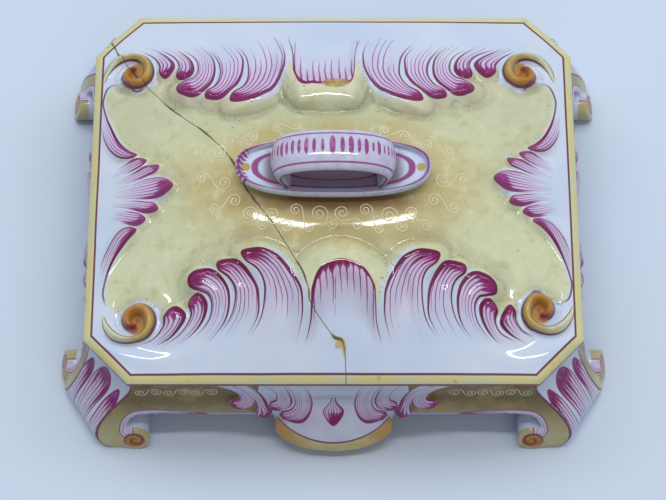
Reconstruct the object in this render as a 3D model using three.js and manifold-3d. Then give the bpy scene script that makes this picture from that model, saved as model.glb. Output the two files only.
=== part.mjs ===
// A tin-glazed earthenware casket with rocaille decoration: a low box on four scrolled corner
// feet, closed by a domed lid that lifts off by a strap handle. Millimetres, +Z up, the ground
// at z = 0 under the middle of the box, the front at -Y.
import * as THREE from 'three';
import { mergeVertices } from 'three/addons/utils/BufferGeometryUtils.js';
import Module from 'manifold-3d';

const wasm = await Module();
wasm.setup();

// Joints between the pressed clay parts
const SLIP = 0.3; // seam of slip that lutes two parts together

// Lid
const LID_LENGTH = 220;
const LID_DEPTH = 180;
const CORNER_CUT = 20; // each corner is cut at 45 degrees, this much off either side
const LID_EDGE = 5; // height of the banded edge
const BAND = 3.5; // bevelled band along the edge, seen from above
const BAND_DROP = 1.4; // fall of that bevel
const LID_WALL = 7; // clay between the dome and the hollow under it
const DOME_RISE = 26.5; // the full dome over the edge
const LAND_RISE = 24; // the dome is pressed flat here, to seat the handle
const DOME_FULLNESS_X = 1.8; // 1 is a straight slope, more is fuller
const DOME_FULLNESS_Y = 1.6;
const SHOULDER = 3; // height over which the dome rounds into its flat land

// Relief of the lid and of the walls
const CREST = 2.6; // a lobe's shoulder, inside its outline
const SKIRT_SHARE = 0.95; // its slope outside the outline, as a share of its lift
const SCOOP = 0.22; // share of the lift that is scooped out of a broad lobe's middle
const GROOVE_SHARE = 0.38; // depth of the groove around a head, as a share of its lift
const GROOVE_WIDTH = 1.5;
const GROOVE_SLOPE = 3.5; // width of either side of the groove
const MOULD_LEAN = 0.084; // the hand-pressed pattern leans by this much of X for each mm of Y
const MOULD_FRONT = 2.4; // the front's pattern lies this much nearer the middle than the back's
const PALMETTE_DROP = 1.5; // the palmettes' middle lobes lie this much to the front

// Flange under the lid, which centres it in the box
const FLANGE_DEPTH = 8;
const FLANGE_WALL = 5;
const FLANGE_CLEARANCE = 1.2;

// Handle
const SADDLE_LENGTH = 86;
const SADDLE_DEPTH = 28;
const SADDLE_SQUARENESS = 3.4; // 2 is an ellipse, more is squarer
const SADDLE_HEIGHT = 6.7; // to the top of its rim
const SADDLE_RIM = 2.8; // width of that rim
const SADDLE_BELLY = 4; // height at which its side stands out most
const DISH_HEIGHT = 4.2; // the dished floor inside the rim
const SADDLE_TUCK = 2.6; // the rim overhangs its foot by this much
const SADDLE_UPTURN = 1.6; // the two tips turn up
const STRAP_SPAN = 54.6;
const STRAP_HEIGHT = 22.4; // from the dish to the top of the arch
const STRAP_WIDTH = 19.4;
const STRAP_THICKNESS = 6;
const STRAP_BEVEL = 2.2; // across the strap's edge
const STRAP_BEVEL_DROP = 1.3; // through its thickness
const STRAP_SHOULDER = 8; // height at which the arch springs
const STRAP_TURN_IN = 3; // the strap's ends turn in under its shoulders
const STRAP_SQUARENESS = 2.7; // 2 is an ellipse, more has squarer shoulders

// Box
const RIM_HEIGHT = 47; // the lid's seat over the ground
const RIM_INSET = 1; // the walls stand back under the lid's edge
const WALL = 7;
const WALL_FLARE = 4.6; // the walls spread by this much down to the apron
const FLARE_DROP = 5; // straight part of the wall under the rim
const APRON_HEIGHT = 17; // lower edge of the walls
const ARCH_HEIGHT = 21; // top of the arch between the apron and each foot
const ARCH_SPAN = 26; // from the corner cut to where the arch meets the apron
const SEAM_INSET = 4; // from the corner cut to the seam of wall and foot
const FLOOR_HEIGHT = 17.5; // underside of the floor
const FLOOR_THICKNESS = 5.5;

// Feet
const FOOT_FLARE = 15.5;
const FOOT_SINK = 6; // the flare's curve would end this far under the ground
const FOOT_SWEEP = 24; // length of wall over which the wall's flare grows into the foot's
const HEEL_LONG = 18; // the corner's edge runs out by this much on the front and back
const HEEL_SHORT = 9; // and by this much on the left and right
const HEEL_HEIGHT = 9; // height at which it runs out most
const HEEL_TUCK = 0.33; // share of that reach that it loses again on the way to the ground
const LEG = 10; // thickness of the foot's two legs
const LEG_LEDGE = 2; // height over which the leg turns into the wall
const NECK_HEIGHT = 12;
const NECK_LONG = 8; // the neck of the front's and back's scroll lies this far outside the seam
const NECK_SHORT = 3; // and that of the left's and right's
const ROLL_RADIUS = 6.5; // the rolled end of each scroll
const ROLL_PROUD_LONG = 0.6; // the scrolls stand out of the front and back by this much
const ROLL_PROUD_SHORT = 2; // and out of the left and right
const ROLL_LONG = 0.4; // from the corner cut out to the roll's axis on the front and back
const ROLL_SHORT = -4; // and on the left and right

// Shells on the walls and the cartouches between them
const SHELL_SPREAD = 25; // from the middle of a wall to the middle of a shell
const SHELL_LIFT = 5; // on the front and back
const SIDE_SHELL_LIFT = 2.4; // on the left and right
const CARTOUCHE_WIDTH = 54;
const CARTOUCHE_TOP = 34;
const CARTOUCHE_BOTTOM = 5;
const CARTOUCHE_END_RISE = 8; // its lower rim rises towards the ends
const CARTOUCHE_FLARE = 12.5;
const CARTOUCHE_END_SHARE = 0.2; // share of that flare at the two ends
const CARTOUCHE_SWEEP = 1.4; // the crescent's ends, as an angle from its middle
const CARTOUCHE_EDGE = 1.2; // thickness of its upper edge
const CARTOUCHE_THICKNESS = 5;

// Colours of the glaze
const WHITE = 0xdfe3ea;
const YELLOW = 0xd6cf9c;
const OCHRE = 0xb59a5a;

const LENGTH_HALF = LID_LENGTH / 2;
const DEPTH_HALF = LID_DEPTH / 2;
const EDGE_TOP = RIM_HEIGHT + LID_EDGE;
const LAND_TOP = EDGE_TOP + LAND_RISE;
const FLOOR_TOP = FLOOR_HEIGHT + FLOOR_THICKNESS;
const CUT_SHRINK = 2 - Math.SQRT2; // a corner cut shrinks by this per mm of inward offset

const { clamp, lerp } = THREE.MathUtils;
const ease = (t) => 0.5 - 0.5 * Math.cos(Math.PI * clamp(t, 0, 1));

// Meshes

function closedMesh(points, triangles) {
  const geometry = new THREE.BufferGeometry();
  geometry.setAttribute('position', new THREE.Float32BufferAttribute(points.flat(), 3));
  let volume = 0;
  for (const [a, b, c] of triangles) {
    const cross = new THREE.Vector3(...points[b]).cross(new THREE.Vector3(...points[c]));
    volume += new THREE.Vector3(...points[a]).dot(cross);
  }
  const facing = volume > 0 ? triangles : triangles.map(([a, b, c]) => [a, c, b]);
  geometry.setIndex(facing.flat());
  return mergeVertices(geometry, 1e-4);
}

function toSolid(geometry) {
  const bare = new THREE.BufferGeometry();
  bare.setAttribute('position', geometry.getAttribute('position').clone());
  bare.setIndex(geometry.getIndex());
  const merged = mergeVertices(bare, 1e-4);
  return new wasm.Manifold(new wasm.Mesh({
    numProp: 3,
    vertProperties: new Float32Array(merged.getAttribute('position').array),
    triVerts: new Uint32Array(merged.getIndex().array),
  }));
}

function fromSolid(solid) {
  const mesh = solid.getMesh();
  const geometry = new THREE.BufferGeometry();
  geometry.setAttribute('position', new THREE.Float32BufferAttribute(mesh.vertProperties, 3));
  geometry.setIndex(Array.from(mesh.triVerts));
  return geometry;
}

// The closed slab between two surfaces that share one grid of (u, v) in 0..1.
function slab(outer, inner, columns, rows) {
  const points = [];
  const triangles = [];
  const index = (side, i, j) => (side * (columns + 1) + i) * (rows + 1) + j;
  for (const surface of [outer, inner]) {
    for (let i = 0; i <= columns; i += 1) {
      for (let j = 0; j <= rows; j += 1) points.push(surface(i / columns, j / rows));
    }
  }
  const quad = (a, b, c, d) => triangles.push([a, b, c], [a, c, d]);
  for (let i = 0; i < columns; i += 1) {
    for (let j = 0; j < rows; j += 1) {
      quad(index(0, i, j), index(0, i + 1, j), index(0, i + 1, j + 1), index(0, i, j + 1));
      quad(index(1, i, j), index(1, i, j + 1), index(1, i + 1, j + 1), index(1, i + 1, j));
    }
  }
  for (let i = 0; i < columns; i += 1) {
    quad(index(0, i, 0), index(1, i, 0), index(1, i + 1, 0), index(0, i + 1, 0));
    quad(index(0, i, rows), index(0, i + 1, rows), index(1, i + 1, rows), index(1, i, rows));
  }
  for (let j = 0; j < rows; j += 1) {
    quad(index(0, 0, j), index(0, 0, j + 1), index(1, 0, j + 1), index(1, 0, j));
    quad(index(0, columns, j), index(1, columns, j), index(1, columns, j + 1), index(0, columns, j + 1));
  }
  return closedMesh(points, triangles);
}

// The closed body over a flat bottom whose top surface is a height over rows of y.
function heightBody(rowsY, columnsX, topZ, bottomZ) {
  const points = [];
  const triangles = [];
  const across = columnsX(rowsY[0]).length;
  const last = rowsY.length - 1;
  const top = (row, column) => row * across + column;
  for (const y of rowsY) for (const x of columnsX(y)) points.push([x, y, topZ(x, y)]);
  for (let row = 0; row < last; row += 1) {
    for (let column = 0; column < across - 1; column += 1) {
      const [a, b] = [top(row, column), top(row, column + 1)];
      const [c, d] = [top(row + 1, column + 1), top(row + 1, column)];
      const step = (from, to) => Math.abs(points[from][2] - points[to][2]);
      if (step(a, c) < step(b, d)) triangles.push([a, b, c], [a, c, d]);
      else triangles.push([a, b, d], [b, c, d]);
    }
  }
  const border = [];
  for (let column = 0; column < across - 1; column += 1) border.push(top(0, column));
  for (let row = 0; row < last; row += 1) border.push(top(row, across - 1));
  for (let column = across - 1; column > 0; column -= 1) border.push(top(last, column));
  for (let row = last; row > 0; row -= 1) border.push(top(row, 0));
  const foot = points.length;
  for (const corner of border) points.push([points[corner][0], points[corner][1], bottomZ]);
  const middle = points.length;
  points.push([0, 0, bottomZ]);
  border.forEach((corner, i) => {
    const next = (i + 1) % border.length;
    triangles.push([corner, foot + i, foot + next], [corner, foot + next, border[next]]);
    triangles.push([middle, foot + next, foot + i]);
  });
  return closedMesh(points, triangles);
}

// The closed body through plan outlines at rising heights, all with as many points.
function loft(outlines) {
  const plan = (outline) => outline.map(([x, y]) => new THREE.Vector2(x, y));
  const clockwise = THREE.ShapeUtils.isClockWise(plan(outlines[0]));
  const sections = clockwise ? outlines.map((outline) => [...outline].reverse()) : outlines;
  const points = sections.flat();
  const triangles = [];
  const around = sections[0].length;
  for (let level = 0; level < sections.length - 1; level += 1) {
    for (let i = 0; i < around; i += 1) {
      const [a, b] = [level * around + i, level * around + ((i + 1) % around)];
      triangles.push([a, b, b + around], [a, b + around, a + around]);
    }
  }
  for (const [level, flip] of [[0, true], [sections.length - 1, false]]) {
    const start = level * around;
    for (const [a, b, c] of THREE.ShapeUtils.triangulateShape(plan(sections[level]), [])) {
      triangles.push(flip ? [start + a, start + c, start + b] : [start + a, start + b, start + c]);
    }
  }
  return closedMesh(points, triangles);
}

function mirrored(geometry, signX, signY) {
  const copy = geometry.clone();
  copy.scale(signX, signY, 1);
  if (signX * signY < 0) {
    const index = Array.from(copy.getIndex().array);
    for (let i = 0; i < index.length; i += 3) [index[i], index[i + 1]] = [index[i + 1], index[i]];
    copy.setIndex(index);
  }
  return copy;
}

function cutRectangle(halfX, halfY, cut, Kind = THREE.Shape) {
  const outline = new Kind();
  outline.moveTo(-halfX + cut, -halfY);
  outline.lineTo(halfX - cut, -halfY);
  outline.lineTo(halfX, -halfY + cut);
  outline.lineTo(halfX, halfY - cut);
  outline.lineTo(halfX - cut, halfY);
  outline.lineTo(-halfX + cut, halfY);
  outline.lineTo(-halfX, halfY - cut);
  outline.lineTo(-halfX, -halfY + cut);
  outline.closePath();
  return outline;
}

// Relief of the lid

// A lobe of the relief is a row of overlapping discs along a spine, raised towards its tip. The
// spines of one quarter of the lid are given in shares of its half length and half depth, and
// the other three quarters mirror them; half widths at the two ends and lifts are in millimetres.
// A nose is the width of the bold round slope in which a great lobe ends.
const LOBE_STEPS = 22;
const LOBES = [
  // Fan panel in the middle of the long side
  { root: [0, 0.889], bend: [0, 0.75], tip: [0, 0.6], ends: [18, 14], lift: 6.4, nose: 10 },
  // Five feathers, smaller towards the corner
  { root: [0.291, 0.833], bend: [0.161, 0.564], tip: [0.35, 0.439], ends: [10, 4.2], lift: 5.8, nose: 6 },
  { root: [0.447, 0.802], bend: [0.316, 0.577], tip: [0.459, 0.467], ends: [6, 3.8], lift: 5.2 },
  { root: [0.567, 0.801], bend: [0.416, 0.576], tip: [0.571, 0.514], ends: [4.3, 4.2], lift: 5.4 },
  { root: [0.666, 0.797], bend: [0.533, 0.652], tip: [0.587, 0.611], ends: [3.7, 2.6], lift: 4.2 },
  { root: [0.747, 0.793], bend: [0.625, 0.678], tip: [0.664, 0.628], ends: [3, 2.4], lift: 4 },
  // Half of the palmette on the short side, from its outer lobe to its middle one
  { root: [0.936, 0.467], bend: [0.91, 0.238], tip: [0.818, 0.213], ends: [2, 1.8], lift: 3.2 },
  { root: [0.905, 0.111], bend: [0.842, 0.143], tip: [0.785, 0.171], ends: [2.6, 2], lift: 3.4 },
  { root: [0.9, 0.056], bend: [0.814, 0.082], tip: [0.737, 0.116], ends: [2, 2.2], lift: 3.5 },
];
const PALMETTE = { root: [0.891, 0], bend: [0.782, 0], tip: [0.686, 0], ends: [2.6, 4.6], lift: 3.6 };
const VOLUTE = {
  centre: [0.786, 0.65], radius: 7.4, tail: 8.6, tailPower: 6, curlRadius: 2,
  start: -0.3, turn: 7.9, width: 2, lift: 4.6, fade: 0.3, steps: 60,
};

const onLid = ([shareX, shareY]) => new THREE.Vector2(shareX * LENGTH_HALF, shareY * DEPTH_HALF);

function leafLobe({ root, bend, tip, ends, lift, nose }, place) {
  const spine = new THREE.QuadraticBezierCurve(place(root), place(bend), place(tip));
  const discs = Array.from({ length: LOBE_STEPS + 1 }, (_, step) => {
    const along = step / LOBE_STEPS;
    const { x, y } = spine.getPoint(along);
    return { x, y, width: lerp(...ends, along), share: ease(along) };
  });
  return { lift, nose, discs };
}

// The corner volute winds in from its long tail and curls into its own middle.
function voluteLobe({ centre, radius, tail, tailPower, curlRadius, start, turn, width, lift, fade, steps }) {
  const middle = onLid(centre);
  const discs = Array.from({ length: steps + 1 }, (_, step) => {
    const along = step / steps;
    const reach = lerp(radius, curlRadius, along * along) + tail * (1 - along) ** tailPower;
    const angle = start + turn * along;
    return {
      x: middle.x + reach * Math.cos(angle),
      y: middle.y + reach * Math.sin(angle),
      width,
      share: ease(along / fade),
    };
  });
  return { lift, discs };
}

const LID_LOBES = [...LOBES.map((lobe) => leafLobe(lobe, onLid)), voluteLobe(VOLUTE)];
const PALMETTE_LOBES = [leafLobe(PALMETTE, onLid)];

function domeRise(x, y) {
  const fallX = 1 - Math.min(1, Math.abs(x) / LENGTH_HALF) ** DOME_FULLNESS_X;
  const fallY = 1 - Math.min(1, Math.abs(y) / DEPTH_HALF) ** DOME_FULLNESS_Y;
  const rise = DOME_RISE * fallX * fallY;
  const near = clamp(1 - Math.abs(rise - LAND_RISE) / SHOULDER, 0, 1);
  return Math.min(rise, LAND_RISE) - (near * near * SHOULDER) / 4;
}

// How far a point lies outside a lobe, negative inside, and that place's share of the lift.
function outsideOf(lobe, x, y) {
  let [out, share] = [Infinity, 0];
  for (const disc of lobe.discs) {
    const away = Math.hypot(x - disc.x, y - disc.y) - disc.width;
    if (away < out) [out, share] = [away, disc.share];
  }
  return [out, share];
}

// Height of the lobes over their ground and depth of the grooves that are pressed around them.
function reliefOf(lobes, x, y) {
  let height = 0;
  let groove = 0;
  for (const lobe of lobes) {
    const [out, share] = outsideOf(lobe, x, y);
    const skirt = lobe.nose ?? SKIRT_SHARE * lobe.lift;
    const scoop = 1 - SCOOP * ease((-out - CREST) / (2 * CREST));
    const climb = clamp((skirt - out) / (skirt + CREST), 0, 1);
    const slope = lobe.nose ? Math.sin((Math.PI / 2) * climb) : ease(climb);
    height = Math.max(height, lobe.lift * share * scoop * slope);
    const past = out - skirt;
    const pressed = ease(past / GROOVE_SLOPE + 1) * (1 - ease((past - GROOVE_WIDTH) / GROOVE_SLOPE));
    groove = Math.max(groove, GROOVE_SHARE * lobe.lift * share * share * pressed);
  }
  return [height, groove];
}

// Place in the mould's own quarter: the pattern leans, except at the two outer volutes that stay.
function inMould(x, y) {
  const [atX, atY] = [Math.abs(x) / LENGTH_HALF, Math.abs(y) / DEPTH_HALF];
  const still = x * y > 0 ? ease((atX - 0.69) / 0.07) : 0;
  const lean = MOULD_LEAN * clamp(y, -0.58 * DEPTH_HALF, 0.58 * DEPTH_HALF) * ease(atY / 0.27) * (1 - still);
  const leftEnd = x < 0 ? ease((atX - 0.73) / 0.11) : 0;
  const front = y < 0 ? ease((atY - 0.16) / 0.2) * (1 - ease((atY - 0.73) / 0.16)) * (1 - leftEnd) : 0;
  return [Math.abs(x + lean), Math.abs(y) + MOULD_FRONT * front];
}

function lidTop(x, y) {
  const [atX, atY] = [Math.abs(x), Math.abs(y)];
  const toCut = (LENGTH_HALF + DEPTH_HALF - CORNER_CUT - atX - atY) / Math.SQRT2;
  const inside = Math.max(0, Math.min(LENGTH_HALF - atX, DEPTH_HALF - atY, toCut));
  const bevel = BAND_DROP * clamp(1 - inside / BAND, 0, 1);
  const [mouldX, mouldY] = inMould(x, y);
  const [height, groove] = reliefOf(LID_LOBES, mouldX, mouldY);
  const [middleHeight, middleGroove] = reliefOf(PALMETTE_LOBES, mouldX, y + PALMETTE_DROP);
  const relief = Math.max(height, middleHeight) - Math.max(groove, middleGroove);
  return EDGE_TOP + domeRise(x, y) - bevel + relief * ease(inside / (2 * BAND));
}

// Evenly spaced values from start to end, both included.
const spread = (start, end, count) =>
  Array.from({ length: count + 1 }, (_, i) => lerp(start, end, i / count));

// Rows or columns of a cut rectangle: the edge, the band, the corner cut and the middle.
function lines(half, cut, band, corner, middle) {
  const near = [-half, ...spread(-half + band, -half + cut, corner)];
  const far = near.map((value) => -value).reverse();
  return [...near.slice(0, -1), ...spread(-half + cut, half - cut, middle), ...far.slice(1)];
}

function rowsOf(halfX, halfY, cut, band, counts) {
  const across = lines(halfX, cut, band, counts.corner, counts.middleX);
  const columnsX = (y) => {
    const span = halfX - Math.max(0, Math.abs(y) - (halfY - cut));
    const shrink = (span - band) / (halfX - band);
    return across.map((x) => (Math.abs(x) === halfX ? Math.sign(x) * span : x * shrink));
  };
  return [lines(halfY, cut, band, counts.corner, counts.middleY), columnsX];
}

function lidPlate() {
  const counts = { corner: 5, middleX: 44, middleY: 33 };
  const [rows, columns] = rowsOf(LENGTH_HALF, DEPTH_HALF, CORNER_CUT, BAND, counts);
  const body = heightBody(rows, columns, lidTop, RIM_HEIGHT);
  const inner = rimInside(FLANGE_CLEARANCE + FLANGE_WALL);
  const coarse = { corner: 2, middleX: 14, middleY: 12 };
  const [hollowRows, hollowColumns] = rowsOf(inner.halfX, inner.halfY, inner.cut, BAND, coarse);
  const under = (x, y) => EDGE_TOP + domeRise(x, y) - LID_WALL;
  const belowSeat = RIM_HEIGHT - LID_WALL;
  const hollow = heightBody(hollowRows, hollowColumns, under, belowSeat);
  return fromSolid(toSolid(body).subtract(toSolid(hollow)));
}

// Inside of the box at its rim, drawn in by a clearance.
function rimInside(clearance) {
  const inset = RIM_INSET + WALL + clearance;
  return {
    halfX: LENGTH_HALF - inset,
    halfY: DEPTH_HALF - inset,
    cut: CORNER_CUT - inset * CUT_SHRINK,
  };
}

function lidFlange() {
  const outer = rimInside(FLANGE_CLEARANCE);
  const inner = rimInside(FLANGE_CLEARANCE + FLANGE_WALL);
  const ring = cutRectangle(outer.halfX, outer.halfY, outer.cut);
  ring.holes.push(cutRectangle(inner.halfX, inner.halfY, inner.cut, THREE.Path));
  const depth = FLANGE_DEPTH - SLIP;
  return new THREE.ExtrudeGeometry(ring, { depth, bevelEnabled: false })
    .translate(0, 0, RIM_HEIGHT - FLANGE_DEPTH);
}

// Handle

// Boat-shaped saddle: the same section, from its foot over its rim into its dish, runs around
// a rounded oblong that is drawn in by the section's own depth.
function handleSaddle() {
  const steps = 40;
  const [halfLength, halfDepth] = [SADDLE_LENGTH / 2, SADDLE_DEPTH / 2];
  const side = new THREE.Path();
  side.moveTo(SADDLE_TUCK, 0);
  side.quadraticCurveTo(0, SADDLE_BELLY / 2, 0, SADDLE_BELLY);
  side.quadraticCurveTo(0, SADDLE_HEIGHT, SADDLE_RIM / 2, SADDLE_HEIGHT);
  side.quadraticCurveTo(SADDLE_RIM, SADDLE_HEIGHT, SADDLE_RIM, DISH_HEIGHT);
  const section = [[halfDepth, 0], ...side.getPoints(2).map(({ x, y }) => [x, y]), [halfDepth, DISH_HEIGHT]];
  const rounded = (value) => Math.sign(value) * Math.abs(value) ** (2 / SADDLE_SQUARENESS);
  const points = [];
  const triangles = [];
  for (let step = 0; step < steps; step += 1) {
    const angle = (2 * Math.PI * step) / steps;
    for (const [inward, height] of section) {
      const x = (halfLength - inward) * rounded(Math.cos(angle));
      const y = (halfDepth - inward) * rounded(Math.sin(angle));
      const pastStrap = Math.max(0, (Math.abs(x) - STRAP_SPAN / 2) / (halfLength - STRAP_SPAN / 2));
      points.push([x, y, LAND_TOP + SLIP + height + SADDLE_UPTURN * pastStrap ** 2]);
    }
  }
  const row = section.length;
  for (let step = 0; step < steps; step += 1) {
    const next = (step + 1) % steps;
    for (let i = 0; i < row - 1; i += 1) {
      const [a, b, c, d] = [step * row + i, next * row + i, next * row + i + 1, step * row + i + 1];
      triangles.push([a, b, c], [a, c, d]);
    }
  }
  return withoutSlivers(closedMesh(points, triangles));
}

// Triangles whose corners merged into one another are dropped.
function withoutSlivers(geometry) {
  const index = Array.from(geometry.getIndex().array);
  const kept = [];
  for (let i = 0; i < index.length; i += 3) {
    const [a, b, c] = index.slice(i, i + 3);
    if (a !== b && b !== c && c !== a) kept.push(a, b, c);
  }
  geometry.setIndex(kept);
  return geometry;
}

// One side of the strap's arch, as an outline from its left end over the top to its right end.
function archLine(inset) {
  const steps = 28;
  const halfSpan = STRAP_SPAN / 2 - inset;
  const rise = STRAP_HEIGHT - STRAP_SHOULDER - inset;
  const foot = new THREE.QuadraticBezierCurve(
    new THREE.Vector2(-halfSpan + STRAP_TURN_IN, 0),
    new THREE.Vector2(-halfSpan, STRAP_SHOULDER / 2),
    new THREE.Vector2(-halfSpan, STRAP_SHOULDER),
  ).getPoints(3).slice(0, -1);
  const line = [...foot];
  for (let step = 0; step <= steps; step += 1) {
    const angle = Math.PI * (1 - step / steps);
    const [cos, sin] = [Math.cos(angle), Math.sin(angle)];
    const power = 2 / STRAP_SQUARENESS;
    line.push(new THREE.Vector2(
      halfSpan * Math.sign(cos) * Math.abs(cos) ** power,
      STRAP_SHOULDER + rise * Math.abs(sin) ** power,
    ));
  }
  return [...line, ...foot.reverse().map(({ x, y }) => new THREE.Vector2(-x, y))];
}

function handleStrap() {
  const arch = new THREE.Shape([...archLine(0), ...archLine(STRAP_THICKNESS).reverse()]);
  const strap = new THREE.ExtrudeGeometry(arch, {
    depth: STRAP_WIDTH - 2 * STRAP_BEVEL,
    bevelEnabled: true,
    bevelThickness: STRAP_BEVEL,
    bevelSize: STRAP_BEVEL_DROP,
    bevelOffset: -STRAP_BEVEL_DROP,
    bevelSegments: 1,
  });
  strap.rotateX(Math.PI / 2).translate(0, STRAP_WIDTH / 2 - STRAP_BEVEL, 0);
  return strap.translate(0, 0, LAND_TOP + DISH_HEIGHT + 2 * SLIP);
}

// Box

const BASE_CUT = CORNER_CUT - RIM_INSET * CUT_SHRINK;
const FLARE_TOP = RIM_HEIGHT - FLARE_DROP;

const wallFlare = (z) => WALL_FLARE * ease((FLARE_TOP - z) / (FLARE_TOP - APRON_HEIGHT));

const footFlare = (z) => FOOT_FLARE * ease((FLARE_TOP - z) / (FLARE_TOP + FOOT_SINK));

// The wall's flare grows into the foot's on the way to the corner cut.
const sideFlare = (fromCut, z) => lerp(footFlare(z), wallFlare(z), ease(fromCut / FOOT_SWEEP));

// Three lobes of the shell on either side of a wall's middle: places in millimetres from the
// shell's middle and in shares of the wall's height, lifts as shares of the wall's own lift.
const SHELL_LOBES = [
  { root: [-15, 1], bend: [-19, 0.1], tip: [5, 0.2], ends: [7, 2.6], lift: 1 },
  { root: [7, 1], bend: [4, 0.8], tip: [-2, 0.62], ends: [4.5, 2.2], lift: 0.85 },
  { root: [21, 1], bend: [14, 0.66], tip: [7.5, 0.3], ends: [4.5, 2], lift: 0.8 },
];

function shellLobes(sideLift) {
  const place = ([along, share]) =>
    new THREE.Vector2(SHELL_SPREAD + along, lerp(APRON_HEIGHT, FLARE_TOP, share));
  return SHELL_LOBES.map((lobe) => leafLobe({ ...lobe, lift: lobe.lift * sideLift }, place));
}

// A side of the box: half its length, the distance of its rim from the middle, its shells, and
// the heel, neck and roll of its two scrolls.
const LONG_SIDE = {
  half: LENGTH_HALF - RIM_INSET,
  rim: DEPTH_HALF - RIM_INSET,
  lobes: shellLobes(SHELL_LIFT),
  heel: HEEL_LONG,
  neck: NECK_LONG,
  roll: ROLL_LONG,
  proud: ROLL_PROUD_LONG,
};
const SHORT_SIDE = {
  half: LONG_SIDE.rim,
  rim: LONG_SIDE.half,
  lobes: shellLobes(SIDE_SHELL_LIFT),
  heel: HEEL_SHORT,
  neck: NECK_SHORT,
  roll: ROLL_SHORT,
  proud: ROLL_PROUD_SHORT,
};

function wallFace(side, along, z) {
  const fromCut = side.half - BASE_CUT - Math.abs(along);
  return side.rim + sideFlare(fromCut, z);
}

// Lower edge of a wall: level, with an arch up to the seam of each foot.
function apronEdge(side, along) {
  const fromCut = side.half - BASE_CUT - Math.abs(along);
  return lerp(APRON_HEIGHT, ARCH_HEIGHT, ease((ARCH_SPAN - fromCut) / (ARCH_SPAN - 2 * SEAM_INSET)));
}

function wall(side) {
  const reach = side.half - BASE_CUT - SEAM_INSET - SLIP / 2;
  const at = (u, v) => {
    const along = lerp(-reach, reach, u);
    return [along, lerp(apronEdge(side, along), RIM_HEIGHT, v)];
  };
  const outer = (u, v) => {
    const [along, z] = at(u, v);
    const [shell] = reliefOf(side.lobes, Math.abs(along), z);
    return [along, -wallFace(side, along, z) - shell * ease((RIM_HEIGHT - z) / FLARE_DROP), z];
  };
  const inner = (u, v) => {
    const [along, z] = at(u, v);
    return [along, -side.rim - wallFlare(z) + WALL, z];
  };
  const [pitch, rows] = [5, 6];
  return slab(outer, inner, Math.round((2 * reach) / pitch), rows);
}

// How far the corner's edge has run out along a side at height z, most at the heel.
function heelReach(side, z) {
  if (z >= HEEL_HEIGHT) return side.heel * ease((FLARE_TOP - z) / (FLARE_TOP - HEEL_HEIGHT));
  return side.heel * (1 - HEEL_TUCK * ((HEEL_HEIGHT - z) / HEEL_HEIGHT) ** 2);
}

// The two edges of a corner's face at height z, in the quarter of +X and +Y.
function cornerEdges(z) {
  const outer = footFlare(z);
  return [
    [LONG_SIDE.half - BASE_CUT + heelReach(LONG_SIDE, z), LONG_SIDE.rim + outer],
    [SHORT_SIDE.rim + outer, SHORT_SIDE.half - BASE_CUT + heelReach(SHORT_SIDE, z)],
  ];
}

// The corner's two inner edges: its face drawn in by a thickness, between the inner faces.
function innerCorner(z, inner, thickness) {
  const [[frontX, frontY], [sideX, sideY]] = cornerEdges(z);
  const normal = new THREE.Vector2(frontY - sideY, sideX - frontX).normalize();
  const [faceX, faceY] = [SHORT_SIDE.rim + inner, LONG_SIDE.rim + inner];
  return [
    [frontX - (thickness + normal.y * (faceY - frontY)) / normal.x, faceY],
    [faceX, frontY - (thickness + normal.x * (faceX - frontX)) / normal.y],
  ];
}

// Where a foot ends along a side: at the seam above, at the scroll's neck below the arch.
function neckEnd(side, z) {
  const arch = clamp((z - NECK_HEIGHT) / (ARCH_HEIGHT - NECK_HEIGHT), 0, 1);
  return side.half - BASE_CUT - SEAM_INSET + SLIP / 2 + side.neck * Math.sqrt(1 - arch * arch);
}

// Plan of a corner and its foot at height z, in the quarter of +X and +Y: the outer faces with
// the cut corner, then the inner faces back again.
function footSection(z) {
  const outer = footFlare(z);
  const legShare = clamp((z - FLOOR_HEIGHT + LEG_LEDGE) / LEG_LEDGE, 0, 1);
  const inner = lerp(outer - LEG, wallFlare(z) - WALL, legShare);
  const [edgeFront, edgeSide] = cornerEdges(z);
  const [innerFront, innerSide] = innerCorner(z, inner, outer - inner);
  const [endX, endY] = [neckEnd(LONG_SIDE, z), neckEnd(SHORT_SIDE, z)];
  const plan = [
    [endX, wallFace(LONG_SIDE, endX, z)],
    edgeFront,
    edgeSide,
    [wallFace(SHORT_SIDE, endY, z), endY],
    [SHORT_SIDE.rim + inner, endY],
    innerSide,
    innerFront,
    [endX, LONG_SIDE.rim + inner],
  ];
  return plan.map(([x, y]) => [x, y, z]);
}

// The rolled end of a scroll, across a side in +Y, leaning out with the flare of the foot.
function scrollRoll(side) {
  const length = LEG + side.proud;
  const roll = new THREE.CylinderGeometry(ROLL_RADIUS, ROLL_RADIUS, length, 20);
  roll.translate(side.half - BASE_CUT + side.roll, side.rim + side.proud - length / 2, ROLL_RADIUS);
  const place = roll.getAttribute('position');
  for (let i = 0; i < place.count; i += 1) place.setY(i, place.getY(i) + footFlare(place.getZ(i)));
  return roll;
}

function cornerFoot(signX, signY) {
  const archSteps = spread(0, Math.PI / 2, 5).map((turn) => lerp(NECK_HEIGHT, ARCH_HEIGHT, Math.sin(turn)));
  const heights = [
    ...spread(0, NECK_HEIGHT, 4),
    ...archSteps,
    FLOOR_HEIGHT - LEG_LEDGE,
    FLOOR_HEIGHT,
    ...spread(ARCH_HEIGHT, RIM_HEIGHT, 6),
  ].sort((a, b) => a - b).filter((z, i, all) => i === 0 || z - all[i - 1] > SLIP);
  const corner = toSolid(loft(heights.map(footSection)));
  const frontRoll = scrollRoll(LONG_SIDE);
  const sideRoll = mirrored(scrollRoll(SHORT_SIDE).rotateZ(Math.PI / 2), -1, 1);
  return mirrored(fromSolid(corner.add(toSolid(frontRoll)).add(toSolid(sideRoll))), signX, signY);
}

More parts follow.
